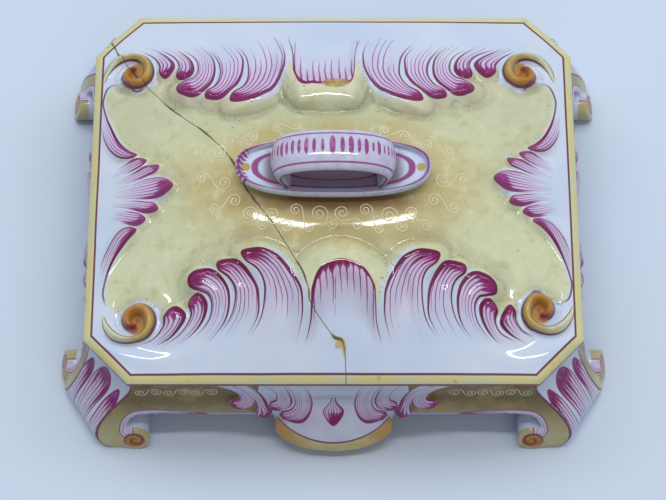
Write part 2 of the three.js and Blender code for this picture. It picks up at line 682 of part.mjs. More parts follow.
function baseFloor() {
  const inner = wallFlare(FLOOR_TOP) - WALL;
  const thickness = footFlare(FLOOR_TOP) - inner + SLIP;
  const [[frontX, frontY], [sideX, sideY]] = innerCorner(FLOOR_TOP, inner - SLIP, thickness);
  const right = [[sideX, -sideY], [sideX, sideY], [frontX, frontY]];
  const left = [[-frontX, frontY], [-sideX, sideY], [-sideX, -sideY]];
  const outline = [[-frontX, -frontY], [frontX, -frontY], ...right, ...left];
  const plan = new THREE.Shape(outline.map(([x, y]) => new THREE.Vector2(x, y)));
  return new THREE.ExtrudeGeometry(plan, { depth: FLOOR_THICKNESS, bevelEnabled: false })
    .translate(0, 0, FLOOR_HEIGHT);
}

// A tongue of clay that flares out from the middle of a long wall to a crescent rim. It is cut
// back to the wall and its shells, less the seam.
function cartouche() {
  const at = (u, v) => {
    const angle = lerp(-CARTOUCHE_SWEEP, CARTOUCHE_SWEEP, u);
    const round = Math.cos(angle);
    const bottom = CARTOUCHE_BOTTOM + CARTOUCHE_END_RISE * (1 - round);
    const top = lerp(CARTOUCHE_BOTTOM + CARTOUCHE_END_RISE, CARTOUCHE_TOP, round);
    return [(Math.sin(angle) * CARTOUCHE_WIDTH) / 2, lerp(top, bottom, v), round];
  };
  const face = (u, v) => {
    const [along, z, round] = at(u, v);
    const proud = CARTOUCHE_EDGE + CARTOUCHE_FLARE * ease(v) * lerp(CARTOUCHE_END_SHARE, 1, round);
    return [along, -wallFace(LONG_SIDE, along, z) - SLIP - proud, z];
  };
  const back = (u, v) => {
    const [along, y, z] = face(u, v);
    return [along, y + CARTOUCHE_THICKNESS, z];
  };
  const wallWithSeam = wall(LONG_SIDE).translate(0, -SLIP, 0);
  const [columns, rows] = [16, 8];
  return fromSolid(toSolid(slab(face, back, columns, rows)).subtract(toSolid(wallWithSeam)));
}

// Assembly

function glaze(color) {
  return new THREE.MeshStandardMaterial({ color, roughness: 0.15, metalness: 0 });
}

function part(name, geometry, color) {
  const mesh = new THREE.Mesh(geometry, glaze(color));
  mesh.name = name;
  return mesh;
}

const casket = new THREE.Group();

const box = new THREE.Group();
box.add(part('base_floor', baseFloor(), WHITE));
for (const [name, side, turn] of [
  ['front_wall', LONG_SIDE, 0],
  ['right_wall', SHORT_SIDE, 1],
  ['back_wall', LONG_SIDE, 2],
  ['left_wall', SHORT_SIDE, 3],
]) {
  box.add(part(name, wall(side).rotateZ((turn * Math.PI) / 2), OCHRE));
}
for (const [name, turn] of [['front_cartouche', 0], ['back_cartouche', 1]]) {
  box.add(part(name, cartouche().rotateZ(turn * Math.PI), YELLOW));
}
for (const [row, signY] of [['front', -1], ['back', 1]]) {
  for (const [hand, signX] of [['left', -1], ['right', 1]]) {
    box.add(part(`foot_${row}_${hand}`, cornerFoot(signX, signY), YELLOW));
  }
}

const lid = new THREE.Group();
lid.add(part('lid_plate', lidPlate(), WHITE));
lid.add(part('lid_flange', lidFlange(), WHITE));
lid.add(part('handle_saddle', handleSaddle(), WHITE));
lid.add(part('handle_strap', handleStrap(), WHITE));

casket.add(box, lid);

export default casket;
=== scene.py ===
"""Dresses a tin-glazed earthenware casket: its relief, its glaze and its painted rocaille ornament.

The construction comes packed in metres. Shapes here are worked out in millimetres in the same frame
and turned into metres when a mesh is made.
"""

import logging
import math
from collections.abc import Sequence
from dataclasses import dataclass, field
from enum import Enum
from functools import partialmethod

import bmesh
import bpy
import numpy as np
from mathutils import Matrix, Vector


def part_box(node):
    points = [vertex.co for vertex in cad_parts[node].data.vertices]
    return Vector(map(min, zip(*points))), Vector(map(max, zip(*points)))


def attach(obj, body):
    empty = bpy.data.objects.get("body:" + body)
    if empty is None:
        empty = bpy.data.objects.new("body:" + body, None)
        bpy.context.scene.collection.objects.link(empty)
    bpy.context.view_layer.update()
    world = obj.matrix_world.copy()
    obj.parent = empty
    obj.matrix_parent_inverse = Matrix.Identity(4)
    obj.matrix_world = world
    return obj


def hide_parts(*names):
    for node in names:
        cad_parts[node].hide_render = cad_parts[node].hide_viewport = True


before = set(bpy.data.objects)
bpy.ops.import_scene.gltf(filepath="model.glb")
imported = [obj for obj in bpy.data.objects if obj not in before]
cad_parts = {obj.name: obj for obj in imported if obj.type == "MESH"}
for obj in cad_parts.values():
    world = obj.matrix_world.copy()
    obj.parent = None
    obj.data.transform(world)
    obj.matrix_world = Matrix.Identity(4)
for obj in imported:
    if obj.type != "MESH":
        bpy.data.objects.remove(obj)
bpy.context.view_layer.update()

LOG = logging.getLogger("casket")
MM = 0.001
FAR = -99.0  # depth of a point that lies far outside a lobe
Pair = tuple[float, float]
Triple = tuple[float, float, float]
Curve = tuple[Pair, ...]
Shade = tuple[float, float, float, float]
Array = np.ndarray
Mesh = bpy.types.Mesh
Piece = bpy.types.Object
Material = bpy.types.Material
Socket = bpy.types.NodeSocket


def shade(*channels: int) -> Shade:
    """Turns a display colour, 0 to 255 a channel, into the linear colour of a shader.

    Args:
        channels: Red, green and blue.

    Returns:
        The linear colour with full alpha.
    """
    shares = [value / 255 for value in channels]
    linear = [c / 12.92 if c <= 0.04045 else ((c + 0.055) / 1.055) ** 2.4 for c in shares]
    return (*linear, 1.0)


class Hue(Enum):
    """Colours of the glaze and of the painter's pigments."""

    WHITE = shade(196, 203, 219)
    COOL_WHITE = shade(186, 197, 220)
    LILAC = shade(196, 172, 206)
    PALE_YELLOW = shade(196, 199, 166)
    YELLOW = shade(190, 186, 146)
    OCHRE = shade(178, 152, 88)
    BROWN = shade(112, 78, 42)
    OLIVE = shade(108, 88, 32)
    ORANGE = shade(176, 120, 52)
    BAND = shade(204, 196, 142)
    PURPLE = shade(134, 34, 112)
    CRIMSON = shade(116, 12, 58)
    VIOLET = shade(164, 84, 150)
    LINE = shade(102, 23, 66)
    CREAM = shade(224, 214, 186)
    # Grey of dirt and specks, also laid as painted shade in the lid's hollows
    DIRT_AND_SHADE = shade(96, 92, 74)
    CRACK = shade(62, 54, 38)
    # Mauve-grey of the strap's mottling, also laid as painted shade in the saddle's dish
    DUSK = shade(118, 102, 114)
    FILLER = shade(176, 156, 92)
    CLOTH = shade(194, 205, 222)


class Trade(Enum):
    """How a moulded lobe is painted."""

    FEATHER = "feather"
    HANGING = "hanging"
    VOLUTE = "volute"
    BARE = "bare"


# Curves in a plane


def ease(share: Array | float) -> Array | float:
    """Eases from 0 to 1 along half a cosine."""
    return 0.5 - 0.5 * np.cos(np.pi * np.clip(share, 0.0, 1.0))


def blend(start: Array | float, end: Array | float, share: Array | float) -> Array | float:
    """Mixes two values by a share from 0 to 1."""
    return start + (end - start) * share


STEPS = 10  # points of a smooth line between two given points
BATCH = 6000  # points that are measured at a time


def through(points: Sequence[Pair]) -> Array:
    """Draws a smooth line through points.

    Args:
        points: The points in order.

    Returns:
        The line, with STEPS points from each given point to the next.
    """
    given = np.array(points, float)
    ends = np.vstack([2 * given[0] - given[1], given, 2 * given[-1] - given[-2]])
    share = np.arange(STEPS)[:, None] / STEPS
    spans = []
    for a, b, c, d in zip(ends, ends[1:], ends[2:], ends[3:]):
        bend = (2 * a - 5 * b + 4 * c - d) * share**2 + (3 * b - a - 3 * c + d) * share**3
        spans.append(b + 0.5 * ((c - a) * share + bend))
    return np.vstack([*spans, given[-1:]])


def nearest(line: Array, points: Array) -> tuple[Array, Array]:
    """Measures points against a line.

    Args:
        line: The line's own points.
        points: The points to measure.

    Returns:
        Each point's distance from the line and the share of the line at which it is nearest.
    """
    start, step = line[:-1], np.diff(line, axis=0)
    length = np.hypot(step[:, 0], step[:, 1]) + 1e-9
    run = np.concatenate([[0.0], np.cumsum(length)])
    gaps, shares = [], []
    for first in range(0, len(points), BATCH):
        offset = points[first : first + BATCH, None, :] - start
        along = np.clip((offset * step).sum(2) / length**2, 0, 1)
        gap = np.linalg.norm(offset - along[..., None] * step, axis=2)
        best = gap.argmin(1)
        rows = np.arange(len(best))
        gaps.append(gap[rows, best])
        shares.append((run[best] + along[rows, best] * length[best]) / run[-1])
    if not gaps:
        return np.zeros(0), np.zeros(0)
    return np.concatenate(gaps), np.concatenate(shares)


def inside(outline: Array, points: Array) -> Array:
    """Tells which points lie inside a closed outline.

    Args:
        outline: The outline's points, the last joined to the first.
        points: The points to test.

    Returns:
        True for each point inside.
    """
    ahead = np.roll(outline, -1, axis=0)
    within = np.zeros(len(points), bool)
    for (x, y), (next_x, next_y) in zip(outline, ahead):
        crosses = (y > points[:, 1]) != (next_y > points[:, 1])
        rise = np.where(next_y == y, 1e-9, next_y - y)
        within ^= crosses & (points[:, 0] < x + (next_x - x) * (points[:, 1] - y) / rise)
    return within


@dataclass(frozen=True)
class Measured:
    """A lobe's own coordinates at a set of points."""

    along: Array  # 0 at the tip, 1 at the tail
    across: Array  # 0 on the outer line, 1 on the inner one
    depth: Array  # millimetres inside the outline, negative outside


@dataclass(frozen=True)
class Lobe:
    """One moulded and painted lobe: a leaf between two lines that run from its tip to its tail."""

    outer: Curve  # points of the outer line from the tail up to the tip
    tip: Pair  # the tip
    inner: Curve  # points of the inner line from the tip back to the tail
    lift: float  # height of the head over its ground
    skirt: float  # width of the slope outside the outline
    crest: float  # width of the slope inside it
    strokes: float = 9  # number of brush strokes across
    head: float = 0.22  # share of the length that the brush covers
    trade: Trade = Trade.FEATHER  # how it is painted
    fade: float = 1.0  # share of the length at which the lift has gone
    nose: bool = False  # true for a great lobe that ends in a bold round slope
    ends: float = 1.0  # share of the length at which its outline has faded

    REACH = 16.0  # distance up to which a lobe is measured
    HANG = 23.0  # length of hanging strokes

    def lines(self) -> tuple[Array, Array]:
        """Gives the outer and the inner line, both from the tip to the tail."""
        rim, split = through([*self.outer, self.tip, *self.inner]), len(self.outer) * STEPS
        return rim[split::-1], rim[split:]

    def measure(self, points: Array) -> Measured:
        """Finds the lobe's own coordinates at points.

        Args:
            points: Points in the plane of the lobe.

        Returns:
            The coordinates, far outside for points that lie far away.
        """
        outer, inner = self.lines()
        rim = np.vstack([outer[::-1], inner[1:]])
        low, high = rim.min(0) - self.REACH, rim.max(0) + self.REACH
        near = np.flatnonzero(np.all((points > low) & (points < high), axis=1))
        along, across = np.ones(len(points)), np.full(len(points), 0.5)
        depth = np.full(len(points), FAR)
        at = points[near]
        gap_outer, share_outer = nearest(outer, at)
        gap_inner, share_inner = nearest(inner, at)
        within = inside(rim, at)
        width = gap_outer + gap_inner + 1e-6
        beyond = np.where(gap_outer < gap_inner, -gap_outer / width, 1 + gap_inner / width)
        across[near] = np.where(within, gap_outer / width, beyond)
        along[near] = blend(share_outer, share_inner, np.clip(across[near], 0, 1))
        depth[near] = np.where(within, 1, -1) * np.minimum(gap_outer, gap_inner)
        if self.trade is Trade.HANGING:
            across[near], along[near] = self.hang(at, inner)
        return Measured(along, across, depth)

    def hang(self, at: Array, inner: Array) -> tuple[Array, Array]:
        """Gives the place across an arch and the share of the way down from it.

        Args:
            at: Points under or around the arch, whose middle is at 0.
            inner: The arch's line from its top down one side.

        Returns:
            The place across from 0 to 1 and the way down from 0 to 1.
        """
        widest = inner[:, 0].max()
        arch = np.interp(abs(at[:, 0]), inner[:, 0], inner[:, 1])
        arch = np.minimum(arch, blend(inner[0, 1], inner[-1, 1], 0.3))
        return at[:, 0] / (2 * widest) + 0.5, np.clip((at[:, 1] - arch) / self.HANG, 0, 1)

    def rise(self, at: Measured) -> Array:
        """Gives the lobe's height over its ground at measured points.

        Args:
            at: The lobe's coordinates at the points.

        Returns:
            The heights.
        """
        climb = np.clip((at.depth + self.skirt) / (self.skirt + self.crest), 0, 1)
        slope = np.sin(np.pi / 2 * climb) if self.nose else ease(climb)
        if self.trade is Trade.VOLUTE:
            return self.lift * slope * ease((1 - at.along) / 0.3)
        scoop = 1 - 0.22 * ease((at.depth - self.crest) / (2 * self.crest))
        return self.lift * slope * scoop * (1 - ease(at.along / self.fade))

    def groove(self, at: Measured, depth: float) -> Array:
        """Gives the depth of the soft groove that is pressed round the lobe's head.

        Args:
            at: The lobe's coordinates at the points.
            depth: Depth of a full groove.

        Returns:
            The depths.
        """
        past = -at.depth - self.skirt
        start, end = ease(past / 5 + 1), 1 - ease((past - 1.5) / 5)
        return depth * start * end * (1 - ease(at.along / 0.7)) * min(1.0, self.lift / 5)


@dataclass
class Relief:
    """All the lobes of one moulded face, measured at its vertices."""

    lobes: Sequence[Lobe]
    measured: list[Measured] = field(default_factory=list)

    def measure(self, places: Sequence[Array]) -> None:
        """Measures each lobe at its own set of points."""
        self.measured = [lobe.measure(at) for lobe, at in zip(self.lobes, places)]

    def extend(self, count: int) -> None:
        """Adds points that lie far from every lobe."""
        far = (np.ones(count), np.full(count, 0.5), np.full(count, FAR))
        self.measured = [Measured(*map(np.append, vars(at).values(), far)) for at in self.measured]

    def height(self, groove: float = 0.0) -> Array:
        """Gives the relief's height at the measured points.

        Args:
            groove: Depth of the groove around the heads.

        Returns:
            The height over the plain ground.
        """
        pairs = list(zip(self.lobes, self.measured))
        up = np.max([lobe.rise(at) for lobe, at in pairs], axis=0)
        down = np.max([lobe.groove(at, groove) for lobe, at in pairs], axis=0)
        return up - down

    def paint(self, mesh: Mesh, seeds: Array, fill: Array, allowed: Array | None = None) -> None:
        """Writes the lobes' coordinates to the mesh's face corners, one lobe for each face.

        Args:
            mesh: The mesh whose vertices were measured.
            seeds: A number per vertex that makes the strokes of a face differ from the others.
            fill: Share of the lobes' heads that the brush fills at each vertex.
            allowed: True for each vertex and lobe that may be painted, lobes first.
        """
        corner = np.empty(len(mesh.loops), np.int64)
        mesh.loops.foreach_get("vertex_index", corner)
        counts = np.empty(len(mesh.polygons), np.int64)
        mesh.polygons.foreach_get("loop_total", counts)
        face = np.repeat(np.arange(len(counts)), counts)
        depth = np.stack([at.depth for at in self.measured])
        if allowed is not None:
            depth = np.where(allowed, depth, FAR)
        summed = np.stack([np.bincount(face, row[corner], len(counts)) for row in depth])
        owner = (summed / counts).argmax(0)[face]
        along = np.stack([at.along for at in self.measured])[owner, corner]
        across = np.stack([at.across for at in self.measured])[owner, corner]
        deep = depth[owner, corner]
        volute = np.array([lobe.trade is Trade.VOLUTE for lobe in self.lobes])[owner]
        bare = np.array([lobe.trade is Trade.BARE for lobe in self.lobes])[owner]
        first = np.concatenate([[0], np.cumsum(counts)[:-1]])
        seed = owner * 3.17 + seeds[corner[first]][face] * 11.3
        strokes = np.array([lobe.strokes for lobe in self.lobes])[owner]
        head = np.array([lobe.head for lobe in self.lobes])[owner] * fill[corner]
        feather = np.stack([along, across, np.where(volute | bare, FAR, deep)], 1)
        scroll = np.stack([along, across, np.where(volute, deep, FAR)], 1)
        write(mesh, "feather", feather, "CORNER")
        write(mesh, "scroll", scroll, "CORNER")
        write(mesh, "stroke", np.stack([seed, strokes, head], 1), "CORNER")
        write(mesh, "ends", np.array([lobe.ends for lobe in self.lobes])[owner], "CORNER")


# Meshes


def write(mesh: Mesh, name: str, values: Array, domain: str = "POINT") -> None:
    """Stores numbers or triples on a mesh for its shader.

    Args:
        mesh: The mesh.
        name: The attribute's name.
        values: One number or one triple for each vertex or corner.
        domain: POINT or CORNER.
    """
    triple = values.ndim == 2
    layer = mesh.attributes.new(name, "FLOAT_VECTOR" if triple else "FLOAT", domain)
    layer.data.foreach_set("vector" if triple else "value", np.ascontiguousarray(values, np.float32).ravel())


def places_of(mesh: Mesh) -> Array:
    """Reads a mesh's vertices, in millimetres.

    Args:
        mesh: The mesh.

    Returns:
        X, Y and Z of each vertex.
    """
    flat = np.empty(len(mesh.vertices) * 3, np.float32)
    mesh.vertices.foreach_get("co", flat)
    return flat.reshape(-1, 3).astype(float) / MM


@dataclass
class Clay:
    """Vertices and faces of one or more closed bodies, in millimetres."""

    points: list[Array] = field(default_factory=list)
    faces: list[list[int]] = field(default_factory=list)
    count: int = 0

    def put(self, points: Array) -> Array:
        """Adds vertices and gives their numbers in the shape of the array.

        Args:
            points: Vertices, with x, y and z along the last axis.

        Returns:
            The new vertices' numbers.
        """
        flat = points.reshape(-1, 3)
        self.points.append(flat)
        numbers = np.arange(self.count, self.count + len(flat)).reshape(points.shape[:-1])
        self.count += len(flat)
        return numbers

    def quads(self, numbers: Array, flip: bool = False) -> None:
        """Joins a grid of vertices with quads.

        Args:
            numbers: The vertices' numbers in rows and columns.
            flip: Turns the faces over.
        """
        a, b = numbers[:-1, :-1].ravel(), numbers[:-1, 1:].ravel()
        c, d = numbers[1:, 1:].ravel(), numbers[1:, :-1].ravel()
        rows = np.stack([a, d, c, b] if flip else [a, b, c, d], 1)
        self.faces.extend(rows.tolist())

    def slab(self, outer: Array, inner: Array) -> None:
        """Adds the closed body between two grids of the same size, the outer one facing out.

        Args:
            outer: Vertices of the outer face in rows and columns.
            inner: Those of the inner one.
        """
        out, back = self.put(outer), self.put(inner)
        self.quads(out)
        self.quads(back, flip=True)
        for edge in (np.s_[0, :], np.s_[:, -1], np.s_[-1, ::-1], np.s_[::-1, 0]):
            self.quads(np.stack([back[edge], out[edge]]))

    def loft(self, rings: Array) -> None:
        """Adds the closed body through rings of points, counter-clockwise seen from its last ring.

        Args:
            rings: The rings in order, all with the same number of points.
        """
        numbers = self.put(rings)
        self.quads(np.hstack([numbers, numbers[:, :1]]))
        self.faces.append(numbers[0, ::-1].tolist())
        self.faces.append(numbers[-1].tolist())

    def mesh(self, name: str) -> Mesh:
        """Makes a Blender mesh, in metres, with smooth faces.

        Args:
            name: The mesh's name.

        Returns:
            The mesh.
        """
        made = bpy.data.meshes.new(name)
        made.from_pydata((np.vstack(self.points) * MM).tolist(), [], self.faces)
        made.shade_smooth()
        return made


def shown(name: str, data: bpy.types.ID, material: Material | None = None) -> Piece:
    """Puts a mesh, a lamp or a camera into the scene.

    Args:
        name: The object's name.
        data: What it shows.
        material: A mesh's only material.

    Returns:
        The object, at the origin.
    """
    made = bpy.data.objects.new(name, data)
    bpy.context.scene.collection.objects.link(made)
    if material is not None:
        data.materials.clear()
        data.materials.append(material)
    return made


def settled(source: Piece, name: str) -> Mesh:
    """Turns an object and its modifiers into a plain mesh and removes the object.

    Args:
        source: The object.
        name: Name of the new mesh.

    Returns:
        The mesh as the modifiers left it.
    """
    graph = bpy.context.evaluated_depsgraph_get()
    made = bpy.data.meshes.new_from_object(source.evaluated_get(graph), depsgraph=graph)
    made.name = name
    source.modifiers.clear()
    bpy.data.objects.remove(source)
    return made


# Shader expressions


class Number:
    """A number socket of a material, which takes part in Python expressions."""

    def __init__(self, bench: "Bench", socket: Socket) -> None:
        """Wraps a socket of a bench's node tree."""
        self.bench = bench
        self.socket = socket

    def math(self, operation: str, *others: "Level") -> "Number":
        """Adds a Math node with this value first."""
        values = dict(enumerate((self, *others)))
        return self.bench.number("ShaderNodeMath", {"operation": operation}, values)

    def after(self, operation: str, first: float) -> "Number":
        """Adds a Math node with this value second."""
        return self.bench.number("ShaderNodeMath", {"operation": operation}, {0: first, 1: self})

    # Signs and functions, each a Math node of its own
    __add__ = partialmethod(math, "ADD")
    __radd__ = partialmethod(after, "ADD")
    __sub__ = partialmethod(math, "SUBTRACT")
    __rsub__ = partialmethod(after, "SUBTRACT")
    __mul__ = partialmethod(math, "MULTIPLY")
    __rmul__ = partialmethod(after, "MULTIPLY")
    __truediv__ = partialmethod(math, "DIVIDE")
    __pow__ = partialmethod(math, "POWER")
    __abs__ = partialmethod(math, "ABSOLUTE")
    least = partialmethod(math, "MINIMUM")
    most = partialmethod(math, "MAXIMUM")
    floor = partialmethod(math, "FLOOR")
    fract = partialmethod(math, "FRACT")
    turn = partialmethod(math, "ARCTAN2")

    def away(self, other: "Number") -> "Number":
        """Gives the distance of a place from the origin by its two coordinates."""
        return (self * self + other * other) ** 0.5

    def step(self, start: "Level", end: "Level", low: float, high: float) -> "Number":
        """Gives a smooth step from one level at the start to another at the end."""
        inputs = {"Value": self, "From Min": start, "From Max": end, "To Min": low, "To Max": high}
        return self.bench.number("ShaderNodeMapRange", {"interpolation_type": "SMOOTHSTEP"}, inputs)

    # Smooth steps from 0 to 1 and from 1 to 0
    up = partialmethod(step, low=0.0, high=1.0)
    down = partialmethod(step, low=1.0, high=0.0)

    def line(self, width: "Level", soft: float = 0.12) -> "Number":
        """Gives the mask of a stroke of half that width where the value is 0."""
        return abs(self).down(width - soft, width + soft)


Level = Number | float
Feed = Number | Socket | Hue | float


class Bench:
    """A material under construction, with the few node patterns that its finish needs."""

    def __init__(self, name: str) -> None:
        """Starts an empty material.

        Args:
            name: The material's name.
        """
        self.made = bpy.data.materials.new(name)
        self.made.use_nodes = True
        self.tree = self.made.node_tree
        self.tree.nodes.clear()
        self.place = self.node("ShaderNodeTexCoord", {}, {}).outputs["Object"]

    def node(self, kind: str, settings: dict, inputs: dict) -> bpy.types.Node:
        """Adds a node.

        Args:
            kind: The node's type.
            settings: Its properties, set before anything is linked.
            inputs: Values or links by socket name or number.

        Returns:
            The node.
        """
        made = self.tree.nodes.new(kind)
        for name, value in settings.items():
            setattr(made, name, value)
        for key, value in inputs.items():
            socket = made.inputs[key]
            value = value.socket if isinstance(value, Number) else value
            if isinstance(value, Socket):
                self.tree.links.new(value, socket)
            else:
                socket.default_value = value.value if isinstance(value, Hue) else value
        return made

    def number(self, kind: str, settings: dict, inputs: dict, output: int | str = 0) -> Number:
        """Adds a node and wraps one of its outputs as a number."""
        return Number(self, self.node(kind, settings, inputs).outputs[output])

    def parts(self, vector: Socket) -> tuple[Number, Number, Number]:
        """Splits a vector into its three numbers."""
        split = self.node("ShaderNodeSeparateXYZ", {}, {0: vector})
        return tuple(Number(self, socket) for socket in split.outputs)

    def stored(self, name: str) -> Number:
        """Reads a number that the mesh holds."""
        return self.number("ShaderNodeAttribute", {"attribute_name": name}, {}, "Fac")

    def triple(self, name: str) -> tuple[Number, Number, Number]:
        """Reads a triple that the mesh holds."""
        held = self.node("ShaderNodeAttribute", {"attribute_name": name}, {})
        return self.parts(held.outputs["Vector"])

    def millimetres(self) -> tuple[Number, Number, Number]:
        """Gives the place on the piece, in millimetres."""
        return tuple(value * (1 / MM) for value in self.parts(self.place))

    def noise(self, size: float, detail: float = 2.0, rough: float = 0.5) -> Number:
        """Gives cloudy noise from 0 to 1, by the size of its clouds in millimetres."""
        inputs = {"Vector": self.place, "Scale": 1 / (size * MM), "Detail": detail, "Roughness": rough}
        return self.number("ShaderNodeTexNoise", {}, inputs, "Fac")

    def specks(self, size: float, share: float) -> Number:
        """Gives the mask of specks, by their distance in millimetres and their share of it."""
        inputs = {"Vector": self.place, "Scale": 1 / (size * MM)}
        return self.number("ShaderNodeTexVoronoi", {"feature": "F1"}, inputs).down(share * 0.7, share)

    def chance(self, value: Number) -> Number:
        """Gives a number from 0 to 1 that differs from one whole number to the next."""
        return self.number("ShaderNodeTexWhiteNoise", {"noise_dimensions": "1D"}, {"W": value}, "Value")

    def mix(self, below: Feed, above: Feed, mask: Level) -> Socket:
        """Lays a colour over another by a mask."""
        settings = {"data_type": "RGBA", "clamp_factor": True}
        return self.node("ShaderNodeMix", settings, {0: mask, 6: below, 7: above}).outputs[2]

    def bump(self, height: Number, distance: float, strength: float = 1.0) -> Socket:
        """Turns a height from 0 to 1, which stands for a distance in millimetres, into a normal."""
        inputs = {"Height": height, "Distance": distance * MM, "Strength": strength}
        return self.node("ShaderNodeBump", {}, inputs).outputs[0]

    def glaze(self, colour: Feed, rough: Level, normal: Socket, index: float = 1.52) -> Material:
        """Ends the material in a glossy surface.

        Args:
            colour: Its colour.
            rough: Its roughness.
            normal: Its bumped normal.
            index: Its index of refraction.

        Returns:
            The finished material.
        """
        inputs = {"Base Color": colour, "Roughness": rough, "Normal": normal, "IOR": index}
        body = self.node("ShaderNodeBsdfPrincipled", {}, inputs)
        self.node("ShaderNodeOutputMaterial", {}, {"Surface": body.outputs[0]})
        return self.made


# Finishes


class Finish(Bench):
    """Brushwork that the painted finishes share."""

    def white(self) -> Socket:
        """Gives the white tin glaze, cooler where it lies thick.

        Returns:
            Its colour.
        """
        pooled = self.noise(34, 3).up(0.35, 0.7)
        body = self.mix(Hue.WHITE, Hue.COOL_WHITE, pooled)
        pits = self.specks(7, 0.035) * self.noise(11).up(0.5, 0.6)
        return self.mix(body, Hue.DIRT_AND_SHADE, pits * 0.7)

    def skin(self) -> Number:
        """Gives the faint unevenness of a glaze that was fired over brushwork."""
        return self.noise(9, 3) * 0.7 + self.noise(2.2, 2) * 0.3

    def feathers(
        self,
        below: Feed,
        contour: Hue = Hue.LINE,
        weight: float = 1.0,
        dark: Level = 1.0,
        red: Level = 0.0,
        pale: Level = 0.0,
    ) -> Socket:
        """Paints the feather lobes: a full brush at the head that breaks up into hairlines.

        Args:
            below: Colour of the glaze under the paint.
            contour: Colour of the lobes' outlines.
            weight: Weight of those outlines.
            dark: Share by which the hairlines are dark and fine.
            red: Share by which the heads are red.
            pale: Share by which the heads are pale and the hairlines long.

        Returns:
            The painted colour.
        """
        along, across, depth = self.triple("feather")
        seed, strokes, head = self.triple("stroke")
        streak = self.noise(5, 2) - 0.5
        phase = across * strokes + streak * 0.35 + seed
        line = phase.floor()
        off = abs(phase.fract() - 0.5)
        luck = self.chance(line + seed)
        other = self.chance(line * 1.7 + seed + 5.3)
        full = head * (1.25 - across * 0.7) * (luck * 0.7 + 0.6)
        reach = full + 0.3 + other * 0.5 + pale * 0.5
        hair = (0.29 - strokes * 0.007 - dark * 0.04) * (1 - along / reach).most(0.0) ** 0.5
        brush = 0.3 * along.down(full * 0.55, full * 1.3)
        within = depth.up(-0.05, 0.25)
        stroke = (hair + brush - off).up(-0.03, 0.07) * within
        covered = along.down(full * 0.5, full * 1.1) * within
        ends = self.stored("ends")
        tapering = along.down(ends - 0.3, ends)
        bold = across.down(0.3, 0.7)
        width = along.down(0.0, 0.9) * (0.28 + bold * 1.1) + 0.25
        edge = width * (1.3 - strokes.up(9, 12) * 0.6) * weight
        outline = depth.down(edge - 0.12, edge + 0.12) * depth.up(-0.32, -0.08) * tapering
        wash = within * (along.down(full, full + 0.6) * 0.7 + 0.25) * along.down(0.6, 1.0)
        tint = self.mix(below, Hue.LILAC, wash)
        tone = self.noise(3.2, 3, 0.6)
        thin = self.mix(Hue.PURPLE, Hue.VIOLET, tone.up(0.5, 0.78).most(pale))
        tipped = (tone.down(0.38, 0.6).most(along.down(0.02, 0.12) * 0.7) * (1 - pale)).most(red)
        thick = self.mix(thin, Hue.CRIMSON, tipped)
        light = self.mix(Hue.PURPLE, Hue.VIOLET, along.up(0.2, 0.8) * 0.7)
        ink = self.mix(light, Hue.LINE, along.up(0.0, 0.4) * dark * 0.85)
        hairline = self.mix(tint, ink, stroke * 0.9)
        headed = self.mix(hairline, thick, covered * (0.72 + 0.28 * luck))
        rim = self.mix(contour, Hue.VIOLET, pale * 0.8)
        return self.mix(headed, rim, outline * 0.95)

    def scrolls(self, below: Feed) -> Socket:
        """Paints the volutes: an orange band that pales towards its tail, between dark lines.

        Args:
            below: Colour of the glaze under the paint.

        Returns:
            The painted colour.
        """
        along, across, depth = self.triple("scroll")
        cloud = self.noise(4, 2)
        warm = self.mix(Hue.ORANGE, Hue.OCHRE, (along + cloud * 0.3).up(0.35, 0.6))
        band = self.mix(warm, Hue.PALE_YELLOW, (along + cloud * 0.25).up(0.6, 0.95))
        shaded = self.mix(band, Hue.BROWN, across.down(0.0, 0.35) * along.down(0.5, 0.8) * 0.7)
        middle = self.stored("curl")
        inside = self.mix(below, warm, middle.down(5.6, 6.6) * 0.95)
        filled = self.mix(inside, shaded, depth.up(-0.1, 0.2))
        curl = along.down(0.02, 0.13) * depth.up(-0.1, 0.3)
        curled = self.mix(filled, Hue.CRIMSON, curl * 0.85)
        inner = middle.down(5.0, 6.4)
        width = 0.24 * along.down(0.45, 1.0) + 0.18
        outline = depth.line(width) * along.down(0.93, 1.0) * (1 - inner * 0.65)
        lined = self.mix(curled, Hue.LINE, outline * 0.9)
        eye = self.mix(Hue.CRIMSON, Hue.BROWN, cloud.up(0.4, 0.6))
        return self.mix(lined, eye, middle.down(0.7, 1.7) * depth.down(-0.2, 0.1) * 0.45)


